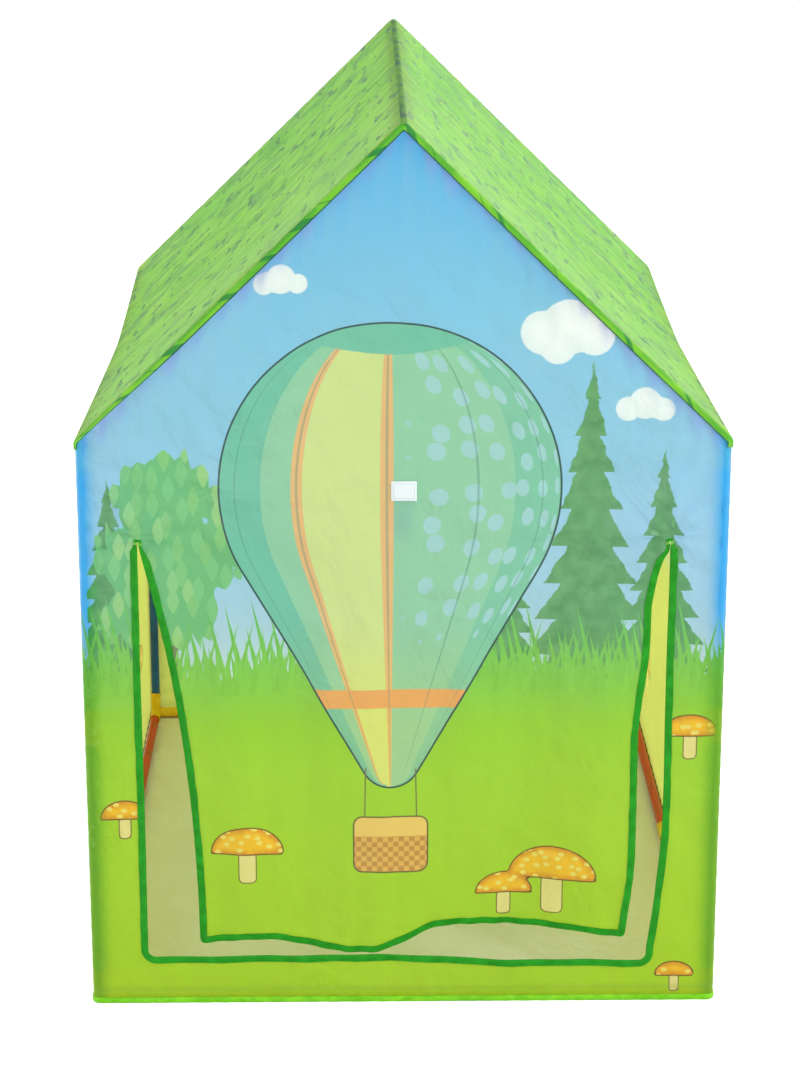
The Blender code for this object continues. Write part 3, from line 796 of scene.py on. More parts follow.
def pulls(u, v, tack, reach, rays, seed):
    """Folds that run out from a tack like spokes."""
    luck = np.random.default_rng(seed)
    across = u - tack[0]
    up = v - tack[1]
    away = np.hypot(across, up)
    angle = np.arctan2(up, across)
    spokes = np.sin(rays * angle + 0.9 * np.sin(2 * angle + luck.uniform(0, 6)) + luck.uniform(0, 6))
    return spokes * np.exp(-away / reach) * np.clip(away / 0.018, 0, 1)


def crease(distance, width):
    """A packing crease: a sharp crest that falls away on both sides."""
    return np.exp(-np.abs(distance) / width)


ROW_SHARE = 0.0085
RUN_STEP = 0.006


def spaced(marks, step):
    """Positions that hit every mark, and are about step apart between them."""
    runs = []
    for start, end in zip(marks, marks[1:]):
        count = max(1, round((end - start) / step))
        runs.append(np.linspace(start, end, count + 1)[:-1])
    return np.append(np.concatenate(runs), marks[-1])


def run_along(x, y):
    """Distance run along a path of points, from the first one to each."""
    return np.concatenate([[0], np.cumsum(np.hypot(np.diff(x), np.diff(y)))])


def directions(path):
    """Direction at each point of an open path, one metre long."""
    tangent = np.gradient(path, axis=0)
    return tangent / np.linalg.norm(tangent, axis=1)[:, None]


# %% [markdown]
# Two helpers make the meshes. A sheet is a grid of faces, rows going up and columns going right as
# seen from outside, which Solidify turns into thin closed cloth with its own inner face. A tape is a
# row of equal rings, skinned all round and closed at its ends. Both write the flat place of each
# point on the mesh, for the shader to read.

# %% Sheets and tapes


def put_in_scene(mesh):
    """An object for a mesh, linked and ready."""
    piece = bpy.data.objects.new(mesh.name, mesh)
    bpy.context.collection.objects.link(piece)
    return piece


def pick(piece):
    """Deselects everything but one piece, as operators act on all that is selected."""
    if bpy.context.object and bpy.context.object.mode != "OBJECT":
        bpy.ops.object.mode_set(mode="OBJECT")
    bpy.ops.object.select_all(action="DESELECT")
    piece.select_set(True)
    bpy.context.view_layer.objects.active = piece


def mark(mesh, name, values):
    """Writes a number, or a vector, on every point of a mesh."""
    if np.ndim(values) == 1:
        mesh.attributes.new(name, "FLOAT", "POINT").data.foreach_set("value", values)
    else:
        mesh.attributes.new(name, "FLOAT_VECTOR", "POINT").data.foreach_set("vector", values.ravel())


SHARP = radians(50)


def sewn_sheet(name, grid, cloth, finishes, inks=None, cut=None):
    """Thin closed cloth from a grid of points. cut marks the faces that are cut away."""
    rows, columns = grid.shape[:2]
    index = np.arange(rows * columns).reshape(rows, columns)
    faces = np.stack((index[:-1, :-1], index[:-1, 1:], index[1:, 1:], index[1:, :-1]), axis=-1)
    faces = faces.reshape(-1, 4) if cut is None else faces[~cut]
    used, faces = np.unique(faces, return_inverse=True)
    faces = faces.reshape(-1, 4)
    mesh = bpy.data.meshes.new(name)
    mesh.from_pydata(grid.reshape(-1, 3)[used].tolist(), [], faces.tolist())
    mark(mesh, "cloth", cloth.reshape(-1, 3)[used])
    for ink, values in (inks or {}).items():
        mark(mesh, ink, values.ravel()[used])
    for finish in finishes:
        mesh.materials.append(finish)
    piece = put_in_scene(mesh)
    pick(piece)
    thick = piece.modifiers.new("thickness", "SOLIDIFY")
    thick.thickness = CLOTH
    thick.offset = -1
    thick.material_offset = len(finishes) - 1
    bpy.ops.object.modifier_apply(modifier=thick.name)
    return smoothed(piece)


def smoothed(piece):
    """The piece with smooth shading, apart from its sharp edges."""
    piece.data.shade_smooth()
    piece.data.set_sharp_from_angle(angle=SHARP)
    print(piece.name, "has", len(piece.data.polygons), "faces")
    return piece


def skin(name, rings, finish, along, across, loop=False):
    """Closed tape over a row of rings."""
    count, around = rings.shape[:2]
    index = np.arange(count * around).reshape(count, around)
    here = index if loop else index[:-1]
    there = np.roll(index, -1, axis=0) if loop else index[1:]
    corners = (here, np.roll(here, -1, axis=1), np.roll(there, -1, axis=1), there)
    faces = np.stack(corners, axis=-1).reshape(-1, 4).tolist()
    if not loop:
        faces.append(index[0][::-1].tolist())
        faces.append(index[-1].tolist())
    mesh = bpy.data.meshes.new(name)
    mesh.from_pydata(rings.reshape(-1, 3).tolist(), [], faces)
    places = np.zeros((count, around, 3))
    places[:, :, 0] = along[:, None]
    places[:, :, 1] = across[None, :]
    mark(mesh, "cloth", places.reshape(-1, 3))
    shell = bmesh.new()
    shell.from_mesh(mesh)
    bmesh.ops.recalc_face_normals(shell, faces=shell.faces)
    shell.to_mesh(mesh)
    shell.free()
    mesh.materials.append(finish)
    return smoothed(put_in_scene(mesh))


# %% [markdown]
# The large shapes of the print are worked out here, as distances in metres: below nothing inside the
# shape, above nothing outside. The balloon is two circles on a plumb line and their tangents.

# %% The large shapes of the print
BALLOON_LOW = 0.300
BALLOON_HIGH = 0.615
MOUTH_RADIUS = 0.034
CROWN_RADIUS = 0.188
NOWHERE = 1.0


def circle(u, v, x, z, radius):
    return np.hypot(u - x, v - z) - radius


def box_shape(u, v, x, z, half_width, half_height, corner):
    across = np.abs(u - x) - half_width + corner
    up = np.abs(v - z) - half_height + corner
    outside = np.hypot(np.maximum(across, 0), np.maximum(up, 0))
    return outside + np.minimum(np.maximum(across, up), 0) - corner


def balloon_shape(u, v):
    """Distance to the balloon's outline, and the angle of the gore at each place."""
    height = BALLOON_HIGH - BALLOON_LOW
    lean = (MOUTH_RADIUS - CROWN_RADIUS) / height
    flat = sqrt(1 - lean * lean)
    across = np.abs(u - BALLOON_X)
    up = v - BALLOON_LOW
    along = -lean * across + flat * up
    side = flat * across + lean * up - MOUTH_RADIUS
    low = np.hypot(across, up) - MOUTH_RADIUS
    high = np.hypot(across, up - height) - CROWN_RADIUS
    distance = np.where(along < 0, low, np.where(along > flat * height, high, side))
    on_line = (MOUTH_RADIUS - lean * up) / flat
    on_low = np.sqrt(np.maximum(MOUTH_RADIUS**2 - up**2, 1e-8))
    on_high = np.sqrt(np.maximum(CROWN_RADIUS**2 - (up - height) ** 2, 1e-8))
    half = np.where(up < lean * MOUTH_RADIUS, on_low, on_line)
    half = np.where(up > height + lean * CROWN_RADIUS, on_high, half)
    turn = np.arcsin(np.clip((u - BALLOON_X) / half, -1, 1))
    return distance, turn


def toadstool(u, v, x, foot, size):
    """Distances to a toadstool's cap and stem."""
    across = (u - x) / (size * 0.62)
    up = (v - foot - size * 0.55) / (size * 0.48)
    reach = np.hypot(across, up)
    slope = np.hypot(across / (size * 0.62), up / (size * 0.48)) + 1e-9
    dome = reach * (reach - 1) / slope
    cap = np.maximum(dome, foot + size * 0.52 - v)
    stem = box_shape(u, v, x, foot + size * 0.28, size * 0.15, size * 0.3, size * 0.08)
    return cap, stem


SHAPE_INKS = ("hull", "gore", "ropes", "basket", "cloud", "crown", "trunk", "cap", "stem")
BASKET_Z = 0.196


def print_shapes(u, v, clouds=(), crowns=(), trunks=(), toadstools=(), balloon=False):
    """All the inks of one wall."""
    inks = {name: np.full(u.shape, NOWHERE) for name in SHAPE_INKS}
    for x, z, radius in clouds:
        inks["cloud"] = np.minimum(inks["cloud"], circle(u, v, x, z, radius))
    for x, z, radius in crowns:
        inks["crown"] = np.minimum(inks["crown"], circle(u, v, x, z, radius))
    for x, z, half_width, half_height in trunks:
        inks["trunk"] = np.minimum(inks["trunk"], box_shape(u, v, x, z, half_width, half_height, 0.006))
    for x, foot, size in toadstools:
        cap, stem = toadstool(u, v, x, foot, size)
        inks["cap"] = np.minimum(inks["cap"], cap)
        inks["stem"] = np.minimum(inks["stem"], stem)
    if balloon:
        inks["hull"], inks["gore"] = balloon_shape(u, v)
        inks["basket"] = box_shape(u, v, BALLOON_X, BASKET_Z, 0.042, 0.034, 0.010)
        fan = np.abs(u - BALLOON_X) - 0.030 + (v - 0.2) * 0.02
        inks["ropes"] = np.where((v > 0.2) & (v < 0.29), fan, NOWHERE)
    return inks


# %% [markdown]
# A gable wall is cut square up to the eaves and sloped above them. Its rows follow the cut, so the
# top row lies along the rafters. The cloth may dip between the posts but not into the frame, so near
# a tube the folds only go outwards.

# %% How a gable wall hangs


UNDER_ROOF = COVER - 0.0012
EAVES_TACK = (0.345, 0.672)
RIDGE_TACK = (0.0, 1.012)


def gable_line(x):
    """Height of the wall's upper edge, just under the roof cloth."""
    reach = UNDER_ROOF
    across = np.abs(x)
    slope = RIDGE_Z + reach / cos(PITCH) - across * tan(PITCH)
    crown = RIDGE_Z + np.sqrt(np.maximum(reach**2 - across**2, 0))
    top = np.where(across < reach * sin(PITCH), crown, slope)
    over_bar = EAVES_Z + np.sqrt(np.maximum(reach**2 - (across - POST_X) ** 2, 0))
    return np.where(across > POST_X + reach * sin(PITCH), over_bar, top)


def gable_folds(x, z, seed):
    """How far a gable wall stands out from its flat plane."""
    post_gap = SEAM_X - np.abs(x)
    roof_gap = (gable_line(x) - z) * cos(PITCH)
    free = ease(post_gap, 0.0, 0.05) * ease(z, 0.01, 0.05) * ease(roof_gap, 0.010, 0.06)
    out = 0.0044 * free * folds(x, z, 0.21, seed)
    out = out + 0.0013 * free * folds(x + 0.6 * z, 0.5 * z, 0.060, seed + 1)
    out = out + 0.0017 * gathers(x, roof_gap, 0.026, 0.030, seed + 2) * ease(roof_gap, 0.003, 0.016)
    out = out + 0.0008 * gathers(z, post_gap, 0.022, 0.016, seed + 3) * ease(post_gap, 0.0, 0.006)
    out = out + 0.0007 * gathers(x, z, 0.027, 0.02, seed + 4)
    for side in (-1, 1):
        tack = (side * EAVES_TACK[0], EAVES_TACK[1])
        out = out + 0.0028 * pulls(x, z, tack, 0.08, 8, seed + 5 + side) * free
    out = out + 0.0016 * pulls(x, z, RIDGE_TACK, 0.06, 8, seed + 8) * free
    out = out - 0.0011 * np.exp(-np.abs(post_gap) / 0.0022)
    frame_gap = np.minimum(np.minimum(post_gap, roof_gap), z)
    deepest = 0.0006 + 0.16 * np.clip(frame_gap - 0.014, 0, 1)
    proudest = 0.0002 + 0.12 * np.clip(roof_gap - 0.012, 0, 1)
    return np.minimum(np.maximum(out, -deepest), proudest)


def front_folds(x, z):
    """The front wall's folds: it also carries the door, the patch and the packing creases."""
    out = gable_folds(x, z, 11)
    calm = 1 - np.exp(-(((x / 0.03) ** 2) + ((z - PATCH_Z) / 0.028) ** 2) ** 2)
    middle = ease(z, 0.05, 0.20) * (1 - ease(z, 0.78, 0.92))
    out = out + 0.0026 * crease(x - 0.004, 0.018) * middle
    across = 1 - ease(np.abs(x), 0.12, 0.30)
    out = out - 0.0014 * crease(z - 0.592 - 0.03 * x, 0.012) * across
    out = out + 0.0013 * crease(z - 0.80 + 0.05 * x, 0.014) * across
    for side in (-1, 1):
        tack = (side * (JAMB - 0.002), DOOR_TOP + 0.004)
        out = out + 0.0030 * pulls(x, z, tack, 0.050, 9, 30 + side)
    out = out + 0.0012 * pulls(x, z, (0.0, PATCH_Z), 0.05, 6, 37)
    return out * calm


# %% [markdown]
# The flap is the same cloth as the wall, cut on three sides. It hangs from the uncut edge, a little
# inwards. Its own tape draws it together, so it is narrower at its hem than at the hinge, more so on
# the left, and its hem dips near the middle. Its folds start as the wall's, so that the print and the
# surface run on across the hinge.

# %% How the flap hangs
HEM_HEIGHT = 0.0745
HEM_DIP_X = -0.042
SILL_DROP = 0.009
FOLD_LEFT = 0.010
FOLD_RIGHT = 0.026
SLIT = 0.0012


def sill_drop(x):
    """How far the doorway's sill hangs down towards the right."""
    return SILL_DROP * ease(x, -0.05, 0.27)


def hem_line(x):
    """Height of the flap's hem: low on the left, lowest left of the middle, highest on the right."""
    left = HEM_HEIGHT + 0.0030 * np.exp(-(((x + 0.152) / 0.03) ** 2)) - 0.0035 * ease(-x, 0.185, 0.225)
    right = 0.0295 * ease(x, HEM_DIP_X, 0.048) - 0.0035 * ease(x, 0.19, 0.25)
    return left - 0.0130 * ease(x, -0.16, -0.05) + right - sill_drop(x)


def flap_left(down):
    """The flap's left edge, a share of the way down: the slit opens fast, then less and less."""
    return -JAMB + SLIT + 0.0590 * (1 - (1 - np.clip(down, 0, 1)) ** 2.1)


def flap_right(down):
    """The flap's right edge: a sudden mouth near the top, a step half way, and a turn at the hem."""
    mouth = 0.0185 * np.clip((down - 0.03) / 0.13, 0, 1) ** 0.45
    step = 0.0112 * ease(down, 0.25, 0.50)
    return JAMB - SLIT - mouth - step - 0.0110 * ease(down, 0.78, 1.06)


def flap_swing(x, z):
    """How far the flap hangs inwards."""
    down = np.clip((HINGE_Z - z) / (HINGE_Z - hem_line(x)), 0, 1)
    depth = np.where(x < HEM_DIP_X, FOLD_LEFT, FOLD_RIGHT)
    place = np.minimum(np.abs(x - HEM_DIP_X) / (FLAP_HALF * 0.55), 2)
    return depth * down**2 * np.sin(place * pi / 2) ** 2


def flap_folds(x, z):
    """How far the flap stands out from the wall's plane."""
    down = np.clip((HINGE_Z - z) / (HINGE_Z - HEM_HEIGHT), 0, 1)
    loose = ease(down, 0.02, 0.35)
    out = front_folds(x, np.maximum(z, 0.08)) * (1 - 0.5 * loose)
    out = out + 0.0040 * loose * folds(x, 0.22 * z, 0.15, 51)
    out = out + 0.0014 * loose * folds(x, 0.3 * z, 0.055, 52)
    out = out + 0.0012 * gathers(x, z - hem_line(x), 0.034, 0.02, 53) * loose
    edge = np.minimum(x - flap_left(down), flap_right(down) - x)
    out = out + 0.0010 * gathers(z, edge, 0.024, 0.012, 54) * loose
    return out - flap_swing(x, z)


# %% [markdown]
# Now the gable walls are cut and sewn. Grid lines follow the doorway, so the faces inside it can be
# left out and its edges stay smooth. The sill then sags towards the right and the right jamb leans in
# near its foot, and the cloth round them goes with them. Each wall ends at its side seams in a small
# groove, where its edge is turned in and sewn to the side wall. The shapes of a print are circles for
# clouds and crowns, with their place and radius, trunks with half their width and height, and
# toadstools with their foot and size.

# %% The front and back walls


GRID_STEP = 0.004
GABLE_ROWS = 100
POST_MARGIN = 0.015
JAMB_LEAN = 0.0142
LEAN_START = 0.235


def jamb_lean(x, z):
    """How far the right jamb, and the cloth round it, leans inwards towards the sill."""
    lean = JAMB_LEAN * np.clip((LEAN_START - z) / 0.16, 0, 1) ** 1.6
    return lean * ease(x, 0.16, JAMB) * (1 - ease(x, JAMB, SEAM_X)) * ease(z, 0.0, SILL)


def sill_sag(x, z):
    """How far the cloth round the sill hangs down with it."""
    return sill_drop(x) * (1 - ease(x, JAMB, SEAM_X)) * ease(z, 0.0, SILL) * (1 - ease(z, SILL, 0.22))


def gable_grid(shape, facing, with_door):
    """Points, flat cloth and cut of one gable wall, and the area of the cloth before the cut."""
    across = spaced([-SEAM_X, -JAMB, JAMB, SEAM_X], GRID_STEP)
    low = spaced([WALL_FOOT, SILL, DOOR_TOP], GRID_STEP)
    high = np.linspace(0, 1, GABLE_ROWS + 1)[1:]
    top = gable_line(across)
    upright = np.repeat(low[:, None], across.size, axis=1)
    sloping = DOOR_TOP + high[:, None] * (top - DOOR_TOP)[None, :]
    heights = np.vstack([upright, sloping])
    x = np.repeat(across[None, :], heights.shape[0], axis=0)
    cut = None
    if with_door:
        middle_x = (x[:-1, :-1] + x[:-1, 1:]) / 2
        middle_z = (heights[:-1, :-1] + heights[1:, :-1]) / 2
        cut = (np.abs(middle_x) < JAMB) & (middle_z > SILL) & (middle_z < DOOR_TOP)
        lean = jamb_lean(x, heights)
        heights = heights - sill_sag(x, heights)
        x = x - lean
    depth = shape(x, heights)
    grid = np.stack([x * -facing, facing * (WALL_Y + depth), heights], axis=-1)
    margin = np.clip(1 - (SEAM_X - np.abs(x)) / POST_MARGIN, 0, 1)
    cloth = np.stack([x, heights, margin], axis=-1)
    return grid, cloth, cut, float(np.trapz(top - WALL_FOOT, across))


def puckers(x, z, seed):
    """Mask of the painted bluish shade in the pucker folds right under the gable's lip."""
    roof_gap = (gable_line(x) - z) * cos(PITCH) - GABLE_LIP
    uneven = 0.45 + 0.6 * folds(x, 0 * x, 0.09, seed) + 0.35 * gathers(x, 0 * x, 0.026, 1.0, seed + 1)
    reach = 0.003 + 0.009 * np.clip(uneven, 0, 1)
    return np.clip(uneven, 0, 1) * np.exp(-((np.maximum(roof_gap, 0) / reach) ** 2))


def gable_wall(side, shape, facing, shapes, seed, with_door=False):
    """One gable wall, sewn and hung. facing is -1 for the front and 1 for the back."""
    grid, cloth, cut, area = gable_grid(shape, facing, with_door)
    u, v, _ = np.moveaxis(cloth, -1, 0)
    inks = print_shapes(u, v, *shapes)
    inks["pucker"] = puckers(u, v, seed)
    wall = sewn_sheet(f"{side}_wall_cloth", grid, cloth, (WALL_FINISH, WALL_LINING), inks, cut)
    if with_door:
        area = area - 2 * JAMB * (DOOR_TOP - SILL)
    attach(wall, "tent")
    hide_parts(f"{side}_wall")
    gable_line(0.0).item() - WALL_FOOT
    return wall


FRONT_CLOUDS = (
    (0.150, 0.790, 0.024), (0.178, 0.797, 0.030), (0.206, 0.788, 0.022), (0.166, 0.776, 0.02),
    (0.244, 0.706, 0.014), (0.262, 0.712, 0.018), (0.282, 0.705, 0.013),
    (-0.150, 0.845, 0.012), (-0.132, 0.850, 0.016), (-0.114, 0.845, 0.011),
)
FRONT_CROWNS = (
    (-0.262, 0.600, 0.058), (-0.232, 0.540, 0.052), (-0.290, 0.535, 0.05),
    (-0.250, 0.478, 0.045), (-0.295, 0.470, 0.04),
)
FRONT_TRUNKS = ((-0.262, 0.40, 0.011, 0.07),)
FRONT_TOADSTOOLS = (
    (0.170, 0.105, 0.080), (0.115, 0.100, 0.052), (-0.178, 0.150, 0.066),
    (0.322, 0.30, 0.05), (0.312, 0.012, 0.036), (-0.316, 0.205, 0.044),
)
FRONT_SHAPES = (FRONT_CLOUDS, FRONT_CROWNS, FRONT_TRUNKS, FRONT_TOADSTOOLS, True)
front_wall = gable_wall("front", front_folds, -1, FRONT_SHAPES, 13, with_door=True)

# %% [markdown]
# The back wall has the same cut without a doorway, and another part of the meadow on it.

# %% The back wall
BACK_CLOUDS = (
    (-0.12, 0.80, 0.024), (-0.09, 0.808, 0.030), (-0.06, 0.80, 0.022),
    (0.2, 0.70, 0.018), (0.222, 0.706, 0.022), (0.246, 0.70, 0.016),
)
BACK_CROWNS = ((0.16, 0.62, 0.075), (0.21, 0.55, 0.07), (0.12, 0.545, 0.07), (0.165, 0.50, 0.07))
BACK_TRUNKS = ((0.163, 0.40, 0.014, 0.08),)
BACK_TOADSTOOLS = ((-0.20, 0.12, 0.09), (-0.13, 0.10, 0.06), (0.24, 0.16, 0.07), (0.05, 0.07, 0.05))
BACK_SHAPES = (BACK_CLOUDS, BACK_CROWNS, BACK_TRUNKS, BACK_TOADSTOOLS)


def back_folds(x, z):
    """The back wall's folds, with one packing crease down the middle."""
    middle = ease(z, 0.05, 0.2) * (1 - ease(z, 0.8, 0.92))
    return gable_folds(x, z, 71) + 0.0012 * crease(x + 0.003, 0.016) * middle


gable_wall("back", back_folds, 1, BACK_SHAPES, 73)

# %% [markdown]
# A side wall starts at the front seam, turns round the corner post, runs along the side, turns round
# the rear post and ends at the rear seam. Its upper edge is pulled in half way along, where the two
# eaves tubes meet and bow inwards.

# %% The plan of a side wall
EAVES_BOW = 0.0092
POST_Y = 0.4649
CORNER_POINTS = 9


def eaves_pull(y):
    """How far the eaves are drawn in, from nothing at the posts to most half way along."""
    share = np.clip(np.abs(y) / POST_Y, 0, 1)
    return EAVES_BOW * (1 - share**1.2)


def side_path():
    """Plan of the right wall: points, outward directions and the distance along the cloth."""
    turn = np.linspace(-pi / 2, 0, CORNER_POINTS)
    inner_x = WALL_X - CORNER_RADIUS
    inner_y = WALL_Y - CORNER_RADIUS
    run = spaced([-inner_y, inner_y], RUN_STEP)[1:-1]
    front_x = np.append(SEAM_X, inner_x + CORNER_RADIUS * np.cos(turn))
    front_y = np.append(-WALL_Y, -inner_y + CORNER_RADIUS * np.sin(turn))
    front_nx = np.append(0.0, np.cos(turn))
    front_ny = np.append(-1.0, np.sin(turn))
    x = np.concatenate([front_x, np.full(run.size, WALL_X), front_x[::-1]])
    y = np.concatenate([front_y, run, -front_y[::-1]])
    out_x = np.concatenate([front_nx, np.ones(run.size), front_nx[::-1]])
    out_y = np.concatenate([front_ny, np.zeros(run.size), -front_ny[::-1]])
    along = run_along(x, y)
    return x, y, out_x, out_y, along - along[-1] / 2


# %% [markdown]
# A side wall is stretched between its posts, so it has only small puckers near them and its long folds
# in the middle. It may not dip into a post or a tube, but it may stand out a little. The left wall is
# the right one turned half a turn about the tent's middle.

# %% The side walls


def side_folds(u, heights, post_gap, seed):
    """How far a side wall stands out from its plan, before the eaves pull it in."""
    roof_gap = EAVES_Z - heights
    free = ease(post_gap, 0.014, 0.08) * ease(heights, 0.01, 0.05) * ease(roof_gap, 0.0, 0.05)
    out = 0.0030 * free * folds(u, heights, 0.24, seed)
    out = out + 0.0009 * free * folds(u + 0.5 * heights, 0.5 * heights, 0.07, seed + 1)
    out = out + 0.0006 * gathers(u, heights, 0.027, 0.02, seed + 2) * ease(post_gap, 0.01, 0.03)
    out = out + 0.0008 * gathers(u, roof_gap, 0.03, 0.03, seed + 3) * ease(post_gap, 0.01, 0.05)
    out = out + 0.0003 * gathers(heights, post_gap, 0.022, 0.014, seed + 4) * ease(post_gap, 0.0, 0.005)
    out = out + 0.0012 * crease(u - 0.01, 0.02) * free
    out = out + 0.0009 * crease(heights - 0.34, 0.018) * free
    out = out - 0.0009 * np.exp(-post_gap / 0.0022)
    out = np.maximum(out, -0.0005 - 0.16 * np.clip(np.minimum(post_gap - 0.012, heights) - 0.014, 0, 1))
    return np.minimum(out, 0.0004 + 0.2 * np.clip(roof_gap - 0.012, 0, 1))


def side_wall(side, turn, seed, shapes):
    """A side wall, sewn and hung. turn is 1 for the right one and -1 for the left."""
    x, y, out_x, out_y, along = side_path()
    top = EAVES_Z + np.sqrt(np.maximum(UNDER_ROOF**2 - (x - POST_X) ** 2, 0))
    rise = spaced([0.0, 1.0], ROW_SHARE)
    heights = WALL_FOOT + rise[:, None] * (top - WALL_FOOT)[None, :]
    u = np.repeat(along[None, :], rise.size, axis=0)
    post_gap = along[-1] - np.abs(u)
    pulled = eaves_pull(y)[None, :] * rise[:, None] ** 1.2 * out_x[None, :]
    out = side_folds(u, heights, post_gap, seed) - pulled
    grid = np.stack([turn * (x[None, :] + out_x[None, :] * out),
                     turn * (y[None, :] + out_y[None, :] * out),
                     heights], axis=-1)
    margin = np.clip(1.25 - post_gap / 0.016, 0, 1)
    cloth = np.stack([u, heights, margin], axis=-1)
    inks = print_shapes(u, heights, *shapes)
    wall = sewn_sheet(f"side_wall_cloth_{side}", grid, cloth, (WALL_FINISH, WALL_LINING), inks)
    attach(wall, "tent")
    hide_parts(f"side_wall_{side}")


RIGHT_CLOUDS = (
    (-0.25, 0.585, 0.022), (-0.222, 0.592, 0.028), (-0.195, 0.585, 0.02),
    (0.1, 0.60, 0.018), (0.122, 0.606, 0.024), (0.148, 0.60, 0.017),
)
RIGHT_CROWNS = ((0.24, 0.53, 0.07), (0.29, 0.48, 0.065), (0.2, 0.475, 0.06), (0.245, 0.44, 0.06))
RIGHT_TRUNKS = ((0.245, 0.37, 0.012, 0.06),)
RIGHT_TOADSTOOLS = ((-0.34, 0.12, 0.085), (-0.27, 0.10, 0.055), (0.05, 0.16, 0.06), (0.33, 0.08, 0.075))
LEFT_CLOUDS = ((0.05, 0.60, 0.02), (0.078, 0.607, 0.026), (0.105, 0.60, 0.019))
LEFT_CROWNS = ((-0.16, 0.54, 0.07), (-0.11, 0.49, 0.065), (-0.2, 0.485, 0.06), (-0.155, 0.44, 0.06))
LEFT_TRUNKS = ((-0.155, 0.37, 0.012, 0.06),)
LEFT_TOADSTOOLS = ((0.12, 0.13, 0.085), (0.2, 0.10, 0.06), (-0.31, 0.09, 0.07), (-0.02, 0.07, 0.05))
side_wall("right", 1, 91, (RIGHT_CLOUDS, RIGHT_CROWNS, RIGHT_TRUNKS, RIGHT_TOADSTOOLS))
side_wall("left", -1, 101, (LEFT_CLOUDS, LEFT_CROWNS, LEFT_TRUNKS, LEFT_TOADSTOOLS))

# %% [markdown]
# A roof slope starts at the ridge seam, bends over the ridge tube, runs down to the eaves tube, bends
# over that and ends in a lip outside the wall. At both gables its edge turns down in a small bend and
# ends in a narrow lip, so the columns of the sheet stand closer there.

# %% The section of a roof slope
EAVES_LIP = 0.45
TAPER = 0.16
ROOF_SAG = 0.0050
AT_RIDGE, ON_SLOPE, AT_EAVES, ON_LIP = range(4)
POINTS = {AT_RIDGE: 6, ON_SLOPE: 78, AT_EAVES: 8, ON_LIP: 4}


def roof_profile():
    """Section of the right slope, from the eaves lip up to the ridge seam."""
    over_ridge = np.linspace(pi / 2, pi / 2 - PITCH, POINTS[AT_RIDGE])
    ridge_x = COVER * np.cos(over_ridge)
    ridge_z = RIDGE_Z + COVER * np.sin(over_ridge)
    over_eaves = np.linspace(pi / 2 - PITCH, 0, POINTS[AT_EAVES])
    radius = np.linspace(COVER, ROOF_X - POST_X, POINTS[AT_EAVES])
    eaves_x = POST_X + radius * np.cos(over_eaves)
    eaves_z = EAVES_Z + radius * np.sin(over_eaves)
    share = np.linspace(0, 1, POINTS[ON_SLOPE] + 2)[1:-1]
    slope_x = ridge_x[-1] + share * (eaves_x[0] - ridge_x[-1])
    slope_z = ridge_z[-1] + share * (eaves_z[0] - ridge_z[-1])
    lip_z = np.linspace(EAVES_Z, LIP_FOOT, POINTS[ON_LIP] + 1)[1:]
    x = np.concatenate([ridge_x, slope_x, eaves_x, np.full(POINTS[ON_LIP], ROOF_X)])[::-1]
    z = np.concatenate([ridge_z, slope_z, eaves_z, lip_z])[::-1]
    kinds = np.repeat(list(POINTS), list(POINTS.values()))[::-1]
    return x, z, kinds


def gable_columns():
    """Columns of a slope from front to back: place along the ridge, drop of the lip, flat place."""
    bend = np.linspace(0, pi / 2, 6)[1:]
    bend_y = ROOF_Y - LIP_BEND + LIP_BEND * np.sin(bend)
    bend_d = LIP_BEND * (1 - np.cos(bend))
    bend_u = ROOF_Y - LIP_BEND + LIP_BEND * bend
    drop = np.linspace(LIP_BEND, GABLE_LIP, 4)[1:]
    end_y = np.concatenate([bend_y, np.full(drop.size, ROOF_Y)])
    end_d = np.concatenate([bend_d, drop])
    end_u = np.concatenate([bend_u, bend_u[-1] + drop - LIP_BEND])
    run = spaced([-ROOF_Y + LIP_BEND, ROOF_Y - LIP_BEND], RUN_STEP)
    y = np.concatenate([-end_y[::-1], run, end_y])
    d = np.concatenate([end_d[::-1], 0 * run, end_d])
    u = np.concatenate([-end_u[::-1], run, end_u])
    return y, d, u


# %% [markdown]
# The gable lip is folded square to the slope, so its edge lies inwards along the section's normals. It
# narrows towards the eaves. At the ridge it is mitred, to meet its twin on a plumb line.

# %% The lips along the gables


def roof_normals(x, z, kinds):
    """Outward directions of the section: round both tubes, and level on the eaves lip."""
    reach = np.hypot(x - POST_X, z - EAVES_Z)
    places = [kinds == AT_RIDGE, kinds == AT_EAVES, kinds == ON_LIP]
    normal_x = np.select(places, [x / COVER, (x - POST_X) / reach, 1.0], sin(PITCH))
    normal_z = np.select(places, [(z - RIDGE_Z) / COVER, (z - EAVES_Z) / reach, 0.0], cos(PITCH))
    return normal_x, normal_z


def gable_lip(x, z, kinds, gone, narrow):
    """Where the lip's edge lies: inwards along the normals, and mitred with the twin at the ridge."""
    normal_x, normal_z = roof_normals(x, z, kinds)
    from_eaves = gone - gone[kinds == ON_SLOPE].min()
    full = GABLE_LIP * (narrow + (1 - narrow) * ease(from_eaves, 0.0, TAPER))
    reach = np.hypot(x - POST_X, z - EAVES_Z)
    lip = np.where(kinds == AT_EAVES, np.minimum(full, reach - 0.0006), full)
    mitre_x = np.maximum(x - full * sin(PITCH), 0.12 * x)
    mitre_z = RIDGE_Z + (COVER - full) / cos(PITCH) - mitre_x * tan(PITCH)
    lip_x = np.where(kinds < AT_EAVES, mitre_x, x - lip * normal_x)
    lip_z = np.where(kinds < AT_EAVES, mitre_z, z - lip * normal_z)
    return lip_x, lip_z


# %% [markdown]
# Between the tubes a slope sags a few millimetres, most in the middle. Its folds and creases die out
# towards the tubes, and short gathers follow the seams. It is drawn in with the eaves, and its lips
# wave a little. The left slope is the right one turned half a turn about the tent's middle.

# %% The roof slopes


